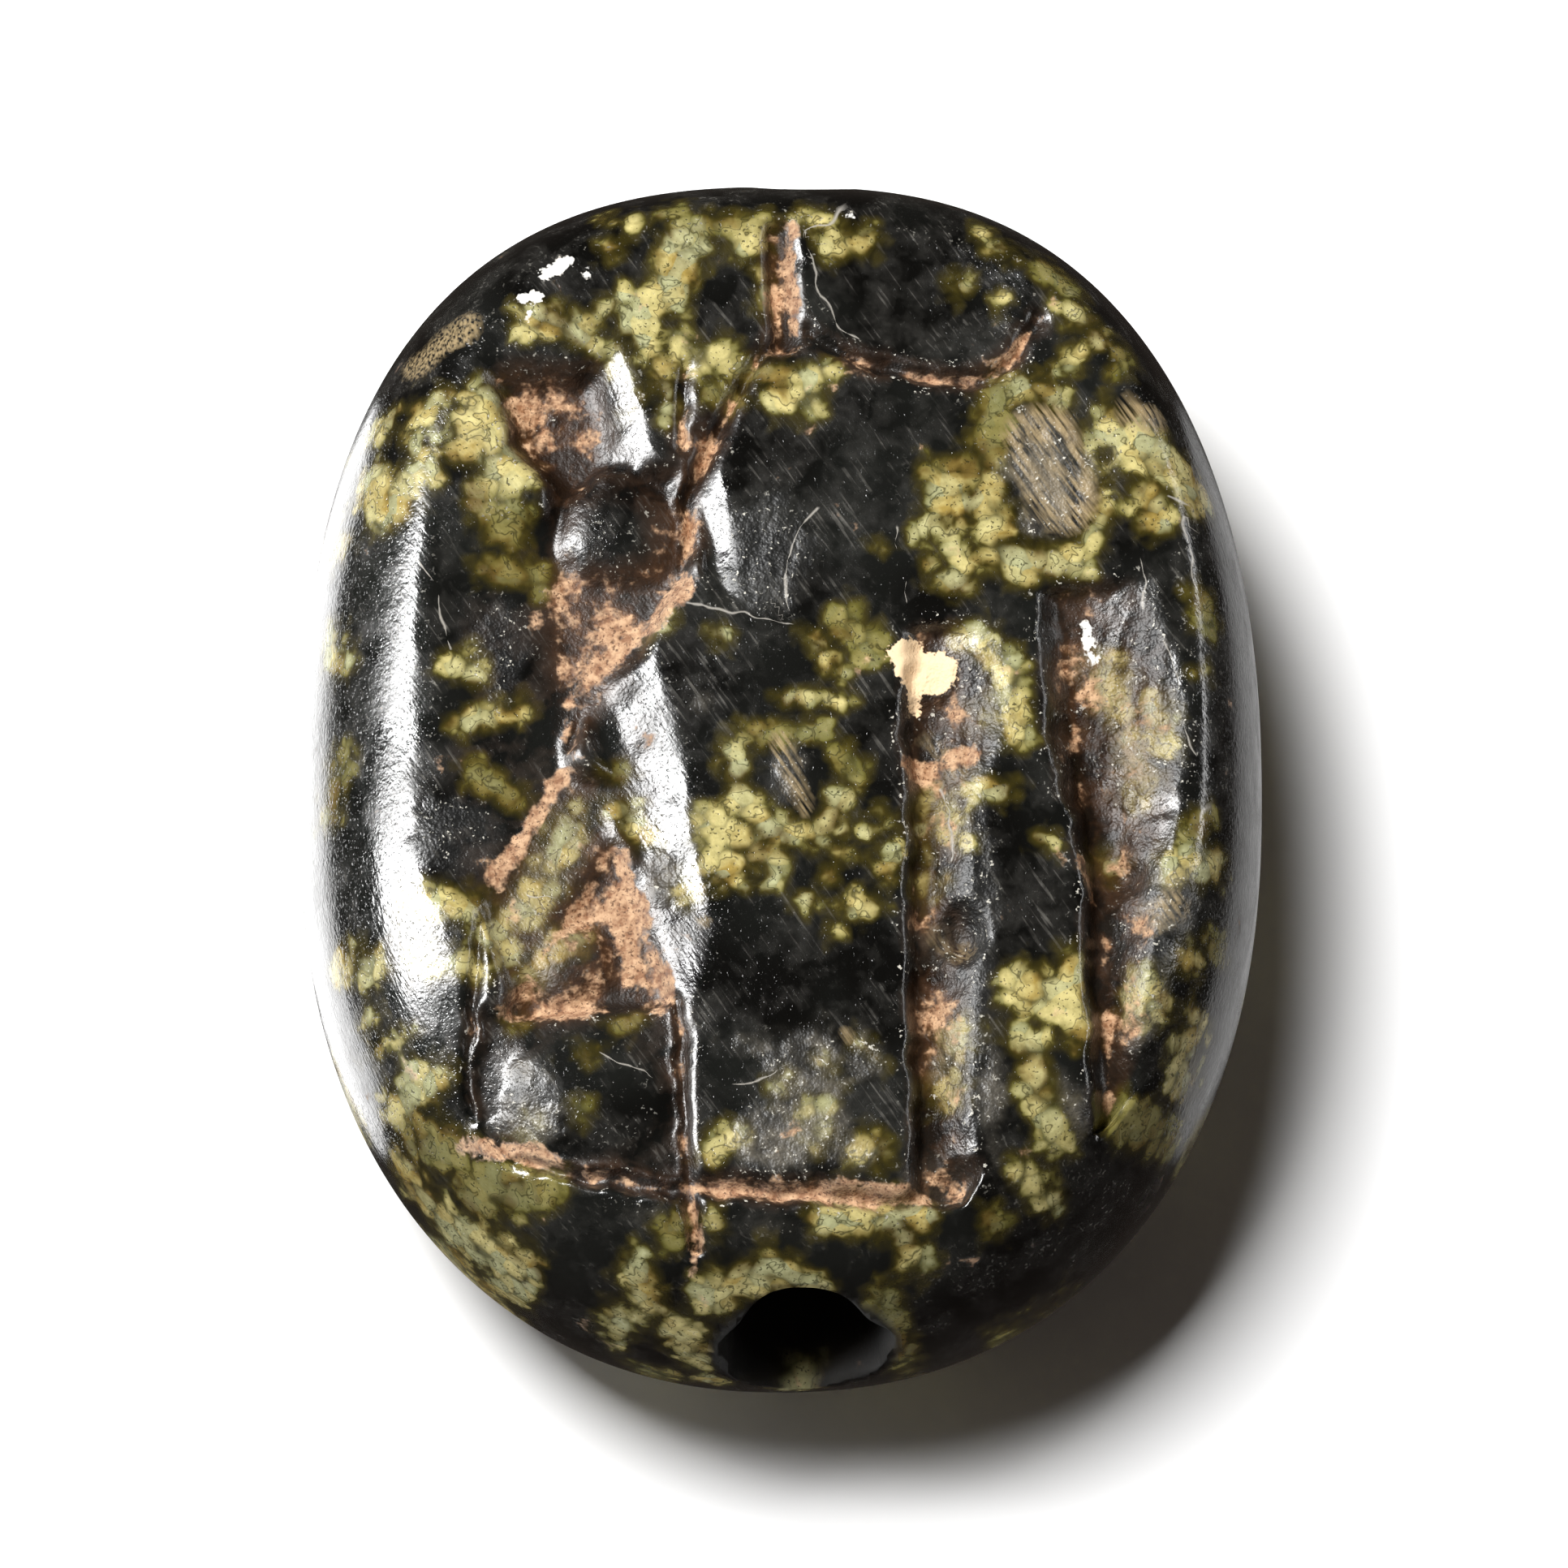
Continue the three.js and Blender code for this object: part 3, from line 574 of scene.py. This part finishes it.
olive_strokes = [
    (-0.18, 0.86, -0.03, 0.865, 0.2), (-0.1, 0.62, 0, 0.6, 0.2), (-0.14, 0.58, -0.1, 0.57, 0.2),
    (-0.25, 0.885, -0.21, 0.9, 0.08), (-0.6, 0.4, -0.56, 0.36, 0.4), (-0.6, 0.28, -0.5, 0.27, 0.25),
    (-0.62, -0.06, -0.55, -0.1, 0.2), (-0.91, -0.01, -0.93, -0.1, 0.2), (-0.34, -0.06, -0.335, -0.06, 0.18),
    (0.13, -0.04, 0.15, -0.08, 0.2), (-0.07, 0, 0.08, 0.005, 0.18), (0.13, 0.19, 0.18, 0.15, 0.28),
    (0.46, 0.58, 0.42, 0.5, 0.3), (0.43, 0.48, 0.4, 0.44, 0.3), (0.31, 0.44, 0.35, 0.45, 0.2),
    (0.54, 0.8, 0.59, 0.76, 0.18), (0.7, 0.65, 0.7, 0.62, 0.15), (0.86, 0.24, 0.87, 0.2, 0.2),
    (0.85, 0.11, 0.855, 0.11, 0.12), (0.42, 0.06, 0.43, 0.02, 0.2), (0.72, -0.05, 0.73, -0.07, 0.4),
    (0.89, -0.33, 0.895, -0.33, 0.2), (0.72, -0.62, 0.79, -0.62, 0.4), (0.87, -0.13, 0.85, -0.16, 0.2),
    (0.43, -0.79, 0.435, -0.79, 0.2), (0.21, -0.91, 0.25, -0.97, 0.27), (-0.23, -0.82, -0.2, -0.8, 0.2),
    (-0.27, -1, -0.25, -1, 0.15), (-0.76, -0.62, -0.67, -0.66, 0.35), (-0.62, -0.73, -0.49, -0.73, 0.4),
    (-0.41, -0.53, -0.405, -0.53, 0.18), (-0.41, -0.62, -0.405, -0.62, 0.15),
    (-0.52, -0.65, -0.515, -0.65, 0.2),
    (-0.34, -0.48, -0.3, -0.47, 0.15), (-0.54, -0.47, -0.535, -0.47, 0.15), (0.44, -0.93, 0.52, -0.91, 0.1),
    (0.52, -0.91, 0.61, -0.86, 0.12),
]
dark_strokes = [
    (-0.38, 0.69, -0.3, 0.64, 0.09), (-0.3, 0.64, -0.27, 0.56, 0.12), (-0.67, 0.56, -0.73, 0.5, 0.09),
    (-0.78, 0.55, -0.77, 0.52, 0.05), (0.62, 0.61, 0.64, 0.52, 0.11), (0.64, 0.52, 0.7, 0.38, 0.11),
    (-0.78, -0.35, -0.73, -0.36, 0.045), (-0.73, -0.36, -0.64, -0.35, 0.04),
    (-0.64, -0.35, -0.59, -0.38, 0.045),
    (-0.06, -0.24, -0.04, -0.24, 0.12), (0.52, -0.48, 0.525, -0.48, 0.15), (0.58, -0.53, 0.59, -0.58, 0.2),
    (0.73, -0.56, 0.735, -0.56, 0.3),
]

# In the same way, what lies on the stone: cream lime crust, white chalky spots, scrapes that show tan, and
# earth that has dried thick.
lime_strokes = [
    (0.28, 0.115, 0.32, 0.11, 0.38), (0.27, 0.09, 0.275, 0.05, 0.13), (0.25, 0.13, 0.27, 0.14, 0.25),
]
chalk_strokes = [
    (-0.49, 0.78, -0.44, 0.8, 0.11), (-0.53, 0.74, -0.5, 0.74, 0.1), (-0.52, 0.71, -0.52, 0.715, 0.08),
    (-0.4, 0.78, -0.4, 0.785, 0.07), (0.63, 0.19, 0.64, 0.14, 0.13), (0.15, 0.88, 0.13, 0.88, 0.04),
]
tan_strokes = [
    (0, -0.02, 0.05, -0.12, 0.25), (-0.75, 0.65, -0.65, 0.69, 0.35), (0.54, 0.5, 0.58, 0.4, 0.7),
    (0.32, -0.33, 0.36, -0.35, 0.33), (0.7, 0.02, 0.73, -0.05, 0.35), (0.72, 0.55, 0.76, 0.54, 0.35),
    (-0.16, -0.31, -0.15, -0.31, 0.15), (0.13, -0.5, 0.14, -0.51, 0.15), (0.63, 0.14, 0.6, 0.12, 0.2),
    (0.3, 0, 0.36, -0.05, 0.3), (0.8, -0.28, 0.76, -0.3, 0.35), (0.32, -0.56, 0.34, -0.5, 0.25),
]
clay_strokes = [
    (-0.2, 0.25, -0.285, 0.18, 0.2), (-0.285, 0.18, -0.37, 0.12, 0.2), (-0.37, 0.12, -0.435, 0.07, 0.18),
    (-0.435, 0.07, -0.445, 0, 0.16), (-0.19, 0.4, -0.2, 0.26, 0.08), (-0.56, 0.57, -0.42, 0.57, 0.1),
    (-0.5, 0.54, -0.44, 0.46, 0.25), (-0.455, -0.06, -0.5, -0.13, 0.13), (-0.5, -0.13, -0.56, -0.2, 0.16),
    (-0.56, -0.2, -0.585, -0.24, 0.13), (-0.33, -0.2, -0.23, -0.43, 0.16), (-0.34, -0.26, -0.3, -0.4, 0.3),
    (-0.57, -0.46, -0.24, -0.45, 0.08), (-0.38, -0.24, -0.5, -0.38, 0.1), (-0.65, -0.655, -0.45, -0.7, 0.13),
    (-0.4, -0.72, -0.22, -0.745, 0.06), (-0.2, -0.745, 0.06, -0.755, 0.14), (0.06, -0.755, 0.3, -0.76, 0.15),
    (-0.175, -0.77, -0.175, -0.86, 0.1), (0.28, -0.05, 0.38, -0.03, 0.22), (0.32, -0.72, 0.35, -0.74, 0.3),
    (0.02, 0.86, 0.025, 0.68, 0.13), (0.03, 0.66, -0.02, 0.65, 0.1), (0.47, 0.63, 0.52, 0.69, 0.08),
    (0.68, -0.3, 0.67, -0.36, 0.14), (0.67, -0.42, 0.67, -0.6, 0.05), (0.6, 0.03, 0.62, -0.1, 0.1),
    (0.62, -0.2, 0.64, -0.27, 0.08),
]
stroke_depth = 0.9
far_outside = -9.0
corners = np.empty(len(stone_mesh.vertices) * 3, np.float32)
stone_mesh.vertices.foreach_get("co", corners)
corners = corners.reshape(-1, 3).astype(float)


def strokes(places):
    """Millimetres inside the nearest of some strokes, which go down into the stone from its uncut face."""
    field = np.full(len(corners), far_outside)
    for first_u, first_v, last_u, last_v, half in places:
        ends = np.array([(u * half_width, v * half_length, face_height(u * half_width, v * half_length))
                         for u, v in ((first_u, first_v), (last_u, last_v))])
        way = ends[1] - ends[0]
        offset = corners - ends[0]
        along = np.clip(offset[:, :2] @ way[:2] / max(way[:2] @ way[:2], mm**2 / 1e6), 0, 1)
        gap = (offset - along[:, None] * way) / mm
        gap[:, 2] *= half / max(stroke_depth, half)
        field = np.maximum(field, half - np.linalg.norm(gap, axis=1))
    return field


def scattered(count, seed, smallest, largest):
    """Millimetres inside the nearest of some lumps scattered round the sides and back."""
    draw = np.random.RandomState(seed)
    field = np.full(len(corners), far_outside)
    for number in range(count):
        angle = draw.uniform(0, 2 * math.pi)
        inward = draw.uniform(0, 1) ** 0.6
        size = draw.uniform(smallest, largest) * np.array([1, draw.uniform(0.6, 1.5), draw.uniform(0.5, 1)])
        out = outline_reach(angle) * (0.25 + 0.75 * inward)
        down = girdle_height * (1.1 * inward**4)
        middle = np.array([out * math.cos(angle), out * math.sin(angle), down])
        field = np.maximum(field, (1 - np.linalg.norm((corners - middle) / (size * mm), axis=1)) * size.min())
    return field


pale = np.maximum(strokes(pale_strokes), scattered(80, 5, 0.35, 1.3))
olive = np.maximum(strokes(olive_strokes), scattered(50, 6, 0.3, 1.0))
dark = strokes(dark_strokes)
# The inside of the bore, which the material darkens to near black as painted shade, and dulls.
bore_depth = bore_radius + mouth_shade - np.hypot(corners[:, 0] - bore_offset, corners[:, 2] - bore_height)
record(stone_mesh, "pale", np.minimum(pale, -dark))
record(stone_mesh, "olive", np.minimum(olive, -dark))
record(stone_mesh, "bored", smooth(0, mouth_shade / 2, bore_depth))
record(stone_mesh, "clay", strokes(clay_strokes))
record(stone_mesh, "lime", strokes(lime_strokes))
record(stone_mesh, "chalk", strokes(chalk_strokes))
record(stone_mesh, "tan", strokes(tan_strokes))

# Serpentine, ground and then polished by handling: a soft gloss with fine pits and scratches in it, over
# rounded yellow-green grains in a black ground. The bruises and the tool marks have stayed matt and sparkle,
# and orange-brown earth has dried hard in the cuts.
serpentine = bpy.data.materials.new("serpentine_hand_polished")
serpentine.use_nodes = True
tree = serpentine.node_tree
shader = tree.nodes["Principled BSDF"]
grain_size = 0.34


def linear(code):
    """An sRGB hex value as a linear colour."""
    parts = [int(code[start:start + 2], 16) / 255 for start in (1, 3, 5)]
    return [part / 12.92 if part <= 0.04045 else ((part + 0.055) / 1.055) ** 2.4 for part in parts] + [1]


def per_metre(size):
    """Texture scale whose pattern repeats at a size in mm."""
    return 1 / (size * mm)


def add(kind, feeds=(), **settings):
    """Adds a node with its settings, and feeds its inputs, by order or name, from nodes or plain values."""
    node = tree.nodes.new("ShaderNode" + kind)
    for name, value in settings.items():
        setattr(node, name, value)
    usable = [socket for socket in node.inputs if socket.enabled]
    for place, source in feeds.items() if isinstance(feeds, dict) else enumerate(feeds):
        socket = usable[place] if isinstance(place, int) else node.inputs[place]
        if isinstance(source, bpy.types.Node):
            source = next(output for output in source.outputs if output.enabled)
        if isinstance(source, bpy.types.NodeSocket):
            tree.links.new(source, socket)
        else:
            socket.default_value = source
    return node


place = add("TexCoord").outputs["Object"]
kept = {name: add("Attribute", attribute_name=name).outputs["Fac"]
        for name in ("pale", "olive", "clay", "lime", "chalk", "tan", "bored", "earth", "stain", "rough",
                     "marked", "lip", "crack_side", "crack_near")}

# Noises of several sizes, and a wandering place that bends the edges of every patch. The dust and the hair
# scratches share one size in mm, which is coarser than real.
dust_size = 0.06
waver = add("TexNoise", {"Vector": place, "Scale": per_metre(0.5), "Detail": 1, "Roughness": 0.6})
bent = add("VectorMath", [waver.outputs["Color"], [0.35 * mm] * 3, place], operation="MULTIPLY_ADD")
clouds = add("TexNoise", {"Vector": place, "Scale": per_metre(2.2), "Detail": 1, "Roughness": 0.6})
patchy = add("TexNoise", {"Vector": bent, "Scale": per_metre(0.8), "Detail": 3, "Roughness": 0.65})
grainy = add("TexNoise", {"Vector": place, "Scale": per_metre(0.16), "Detail": 2, "Roughness": 0.7})
dusty = add("TexNoise", {"Vector": place, "Scale": per_metre(dust_size), "Detail": 1, "Roughness": 0.7})
hair_place = add("Mapping", [place, (0, 0, 0), (0, 0, math.radians(35)), (1, 16, 1)], vector_type="TEXTURE")
hairs = add("TexNoise", {"Vector": hair_place, "Scale": per_metre(dust_size), "Detail": 1, "Roughness": 0.5})

# How far inside a patch a point lies, in mm. Rounded grains swell its edge, and some stand free of it.
grain = add("TexVoronoi", {"Vector": bent, "Scale": per_metre(grain_size)})
chance = add("SeparateColor", [grain.outputs["Color"]])
nearest = add("Math", [kept["pale"], kept["olive"]], operation="MAXIMUM")
wander = add("Math", [patchy, 0.7, -0.23], operation="MULTIPLY_ADD")
swollen = add("Math", [grain, -0.3, wander], operation="MULTIPLY_ADD")
field = add("Math", [nearest, swollen])
inside = add("MapRange", [field, -0.1, 0.04, 0, 1], interpolation_type="SMOOTHSTEP")
halo = add("MapRange", [field, -0.3, 0, 0, 1], interpolation_type="SMOOTHSTEP")
deep = add("MapRange", [field, -0.1, 0.2, 0, 1], interpolation_type="SMOOTHSTEP")

# The colours of the grains: olive at their rims and pale within, some browner and some greener, with fine
# dark veins and specks.
paleness = add("Math", [kept["pale"], kept["olive"]], operation="SUBTRACT")
paleness = add("MapRange", [paleness, -0.3, 0.25, 0.3, 1])
bright = add("Math", [add("MapRange", [grain, 0.1, 0.75, 1, 0.7]), deep], operation="MULTIPLY")
bright = add("Math", [bright, paleness], operation="MULTIPLY")
speckled = add("MapRange", [grainy, 0.3, 0.7, 0.7, 1.2])
bright = add("Math", [bright, speckled], operation="MULTIPLY", use_clamp=True)
browner = add("MapRange", [patchy, 0.38, 0.56, 1, 0])
rim_colour = add("Mix", [browner, linear("#57521C"), linear("#4A3A18")], data_type="RGBA")
heart_colour = add("Mix", [browner, linear("#C6B97C"), linear("#9A8444")], data_type="RGBA")
greener = add("MapRange", [add("Math", [clouds, chance.outputs["Red"]]), 1, 1.4, 0, 0.6])
heart_colour = add("Mix", [greener, heart_colour, linear("#96A184")], data_type="RGBA")
grain_colour = add("Mix", [bright, rim_colour, heart_colour], data_type="RGBA")
vein = add("Math", [add("Math", [patchy, 0.52], operation="SUBTRACT")], operation="ABSOLUTE")
vein = add("MapRange", [vein, 0, 0.016, 0.8, 0])
seam = add("MapRange", [grain, 0.58, 0.9, 0, 0.8])
vein = add("Math", [vein, seam], operation="MAXIMUM")
speck = add("MapRange", [dusty, 0.62, 0.7, 0, 0.8])
darker = add("Math", [vein, speck], operation="MAXIMUM")
grain_colour = add("Mix", [darker, grain_colour, linear("#2A2810")], data_type="RGBA")

# The ground between them: near black, clouded grey, with hair scratches and an olive glow at the patches.
cloudy = add("MapRange", [clouds, 0.4, 0.65, 0, 1])
black = add("Mix", [cloudy, linear("#070706"), linear("#151614")], data_type="RGBA")
haze = add("Math", [add("MapRange", [patchy, 0.42, 0.62, 0, 1]), grainy], operation="MULTIPLY")
scratch = add("MapRange", [hairs, 0.6, 0.72, 0, 0.6])
haze = add("Math", [haze, add("Math", [scratch, 0.12])], operation="MULTIPLY")
black = add("Mix", [haze, black, linear("#807D76")], data_type="RGBA")
glow = add("Math", [halo, 0.85], operation="MULTIPLY")
black = add("Mix", [glow, black, linear("#39320F")], data_type="RGBA")
stone = add("Mix", [inside, black, grain_colour], data_type="RGBA")

# Scraped stone is paler, in streaks, and bruised stone is mottled grey with white flecks, which are partly
# white grit and partly painted glints.
scraped = add("Math", [kept["tan"], add("Math", [patchy, 0.5, -0.25], operation="MULTIPLY_ADD")])
streaks = add("MapRange", [hairs, 0.35, 0.6, 0, 0.85])
scraped = add("Math", [add("MapRange", [scraped, 0, 0.2, 0, 1]), streaks], operation="MULTIPLY")
stone = add("Mix", [scraped, stone, linear("#A08C68")], data_type="RGBA")
worn = add("Math", [kept["rough"], kept["marked"]], operation="MAXIMUM")
bruise_colour = add("Mix", [grainy, linear("#0E0D0C"), linear("#8C8474")], data_type="RGBA")
bruised = add("Math", [kept["rough"], add("MapRange", [patchy, 0.4, 0.6, 0.1, 0.6])], operation="MULTIPLY")
stone = add("Mix", [bruised, stone, bruise_colour], data_type="RGBA")
# White flecks on bruised ground and on the convex lips of the cuts: partly chips and grit, partly painted
# glints where those edges catch the light.
fleck_and_glint = add("MapRange", [add("Math", [grainy, dusty], operation="MULTIPLY"), 0.36, 0.43, 0, 0.8])
fleck_and_glint = add("Math", [fleck_and_glint, add("Math", [worn, kept["lip"]], operation="MAXIMUM")], operation="MULTIPLY")
stone = add("Mix", [fleck_and_glint, stone, linear("#D9D5C8")], data_type="RGBA")

# Earth in the cuts: a brown stain on the walls, then terracotta to peach crumb on the floors.
stained = add("Math", [kept["stain"], add("MapRange", [patchy, 0.38, 0.6, 0.2, 1])], operation="MULTIPLY")
stained = add("MapRange", [stained, 0.03, 0.5, 0, 0.85])
stone = add("Mix", [stained, stone, linear("#4A2E18")], data_type="RGBA")
packed = add("Math", [patchy, 3, -1.65], operation="MULTIPLY_ADD")
packed = add("Math", [grainy, 0.7, add("Math", [packed, -0.35])], operation="MULTIPLY_ADD")
thick = add("MapRange", [kept["clay"], -0.15, 0.1, 0, 1.1])
packed = add("Math", [add("Math", [kept["earth"], thick], operation="MAXIMUM"), packed])
packed = add("MapRange", [packed, 0.38, 0.8, 0, 1], interpolation_type="SMOOTHSTEP")
crumb = add("MapRange", [grainy, 0.35, 0.65, 0, 1])
crumb = add("Mix", [crumb, linear("#8A6144"), linear("#CDA783")], data_type="RGBA")
crumb_pits = add("MapRange", [dusty, 0.56, 0.68, 0, 0.75])
crumb = add("Mix", [crumb_pits, crumb, linear("#4A2C18")], data_type="RGBA")
stone = add("Mix", [add("Math", [packed, 0.9], operation="MULTIPLY"), stone, crumb], data_type="RGBA")

# Lime crust and white cracks.
ragged_edge = add("Math", [grainy, 0.3, -0.15], operation="MULTIPLY_ADD")
limed = add("Math", [kept["lime"], kept["chalk"]], operation="MAXIMUM")
limed = add("MapRange", [add("Math", [limed, ragged_edge]), 0, 0.03, 0, 1])
chalked = add("MapRange", [kept["chalk"], -0.2, 0, 0, 1])
lime_colour = add("Mix", [chalked, linear("#EFD0A8"), linear("#E4E2DC")], data_type="RGBA")
stone = add("Mix", [limed, stone, lime_colour], data_type="RGBA")
crack_width = add("MapRange", [patchy, 0.42, 0.6, 0.0, 0.035])
crack_line = add("MapRange", [add("Math", [kept["crack_side"]], operation="ABSOLUTE"), 0, crack_width, 1, 0])
crack_reach = add("MapRange", [kept["crack_near"], 0.1, 0.4, 0, 0.85])
cracked = add("Math", [crack_line, crack_reach], operation="MULTIPLY")
stone = add("Mix", [cracked, stone, linear("#A8A39A")], data_type="RGBA")

# Inside the bore, painted shade: its walls are darkened to near black, as little light comes in there.
bore_painted_shade = add("Math", [kept["bored"], 0.93], operation="MULTIPLY")
stone = add("Mix", [bore_painted_shade, stone, linear("#0E0B08")], data_type="RGBA")
colour = next(output for output in stone.outputs if output.enabled)
tree.links.new(colour, shader.inputs["Base Color"])

# Gloss: a hand polish on the face, matt in bruises and marks, dull on earth and lime.
gloss = add("MapRange", [patchy, 0.35, 0.65, 0.14, 0.28])
matt = add("Math", [kept["stain"], 1.7], operation="MULTIPLY", use_clamp=True)
matt = add("Math", [add("Math", [worn, matt], operation="MAXIMUM"), 0.85], operation="MULTIPLY")
gloss = add("Mix", [matt, gloss, 0.62], data_type="FLOAT")
dull = add("Math", [add("Math", [packed, limed], operation="MAXIMUM"), kept["bored"]], operation="MAXIMUM")
gloss = add("Mix", [dull, gloss, 0.9], data_type="FLOAT")
tree.links.new(gloss.outputs[0], shader.inputs["Roughness"])
shader.inputs["IOR"].default_value = 1.56

# Fine relief: pits and hair scratches in the polish, grit on rough ground and in the earth.
pitted = add("MapRange", [dusty, 0.6, 0.72, 0, -0.4])
polish = add("Math", [hairs, 0.6, pitted], operation="MULTIPLY_ADD")
coarse = add("Math", [worn, kept["earth"]], operation="MAXIMUM")
coarse = add("Math", [coarse, 6, 0.9], operation="MULTIPLY_ADD")
height = add("Math", [grainy, coarse, polish], operation="MULTIPLY_ADD")
bump = add("Bump", {"Height": height, "Distance": 0.008 * mm, "Strength": 1.0})
tree.links.new(bump.outputs["Normal"], shader.inputs["Normal"])

gem.data.materials.clear()
gem.data.materials.append(serpentine)
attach(gem, "root")
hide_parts("engraved_gem")

# The ground it lies on is a plain white card.
card_reach = 0.4
card_mesh = bpy.data.meshes.new("white_card")
card_corners = [(-card_reach, -card_reach, 0), (card_reach, -card_reach, 0), (card_reach, card_reach, 0)]
card_mesh.from_pydata(card_corners + [(-card_reach, card_reach, 0)], [], [(0, 1, 2, 3)])
card = bpy.data.objects.new("white_card", card_mesh)
bpy.context.collection.objects.link(card)
white = bpy.data.materials.new("white_card_matt")
white.use_nodes = True
white.node_tree.nodes["Principled BSDF"].inputs["Base Color"].default_value = linear("#F4F4F4")
white.node_tree.nodes["Principled BSDF"].inputs["Roughness"].default_value = 0.9
card_mesh.materials.append(white)
card.visible_glossy = False

# The camera looks down from the end of the bore's near mouth, steeply and from far off, and is framed as the
# photograph is.
picture = 1932
pixels_per_mm = 74.5
middle_x = 962
middle_y = 980
elevation = math.radians(77)
camera_distance = 0.3
camera_data = bpy.data.cameras.new("camera")
camera_data.sensor_width = 36
camera_data.lens = camera_data.sensor_width * camera_distance / (picture / pixels_per_mm * mm)
camera_data.clip_start = camera_distance / 30
camera = bpy.data.objects.new("camera", camera_data)
bpy.context.collection.objects.link(camera)
toward = Vector((0, -math.cos(elevation), math.sin(elevation)))
upward = Vector((0, math.sin(elevation), math.cos(elevation)))
aim = Vector(((picture / 2 - middle_x) / pixels_per_mm * mm, 0, girdle_height))
aim = aim + upward * ((middle_y - picture / 2) / pixels_per_mm * mm)
camera.location = aim + toward * camera_distance
camera.rotation_euler = toward.to_track_quat("Z", "Y").to_euler()
bpy.context.scene.camera = camera

# Soft studio light: a scrim high behind the stone's left, which lights matt surfaces and casts the shadow, a
# box low on the left, which gives the gloss its white bands, a thin weak one on the right, and two strips of
# light table beside the stone, which its lower walls mirror. Each is kept to its one task, as a polarising
# screen keeps it.
box_distance = 0.25


def softbox(name, azimuth, height, size, brightness, roll=0, lights_matt=True, shows_in_gloss=True):
    """Hangs a soft light that faces the stone, by its azimuth from the north, height and roll in degrees."""
    data = bpy.data.lights.new(name, "AREA")
    data.shape = "RECTANGLE"
    data.size, data.size_y = size
    data.energy = brightness * math.pi * size[0] * size[1]
    lamp = bpy.data.objects.new(name, data)
    level = math.cos(math.radians(height))
    direction = Vector((level * math.sin(math.radians(azimuth)), level * math.cos(math.radians(azimuth)),
                        math.sin(math.radians(height))))
    lamp.location = direction * box_distance
    turned = direction.to_track_quat("Z", "Y") @ Quaternion((0, 0, 1), math.radians(roll))
    lamp.rotation_euler = turned.to_euler()
    lamp.visible_diffuse = lights_matt
    lamp.visible_glossy = shows_in_gloss
    bpy.context.collection.objects.link(lamp)


softbox("high_scrim", -50, 68, (0.095, 0.095), 40, shows_in_gloss=False)
softbox("left_softbox", -86, 29, (0.09, 0.25), 34, 15, lights_matt=False)
softbox("right_strip", 80, 14, (0.2, 0.03), 9, lights_matt=False)
table_size = (5 * mm, 15 * mm)
table_y = 1 * mm
table_height = 0.3 * mm
for name, table_x, brightness in (("left_light_table", -11 * mm, 4), ("right_light_table", 10.7 * mm, 0.5)):
    table_data = bpy.data.lights.new(name, "AREA")
    table_data.shape = "RECTANGLE"
    table_data.size, table_data.size_y = table_size
    table_data.energy = brightness * math.pi * table_size[0] * table_size[1]
    table = bpy.data.objects.new(name, table_data)
    table.location = (table_x, table_y, table_height)
    table.rotation_euler = (math.pi, 0, 0)
    table.visible_diffuse = False
    table.visible_camera = False
    bpy.context.collection.objects.link(table)
world = bpy.data.worlds.new("studio")
bpy.context.scene.world = world
world.use_nodes = True
world.node_tree.nodes["Background"].inputs["Color"].default_value = linear("#FFE9D8")
world.node_tree.nodes["Background"].inputs["Strength"].default_value = 0.04
bpy.context.scene.view_settings.view_transform = "Standard"
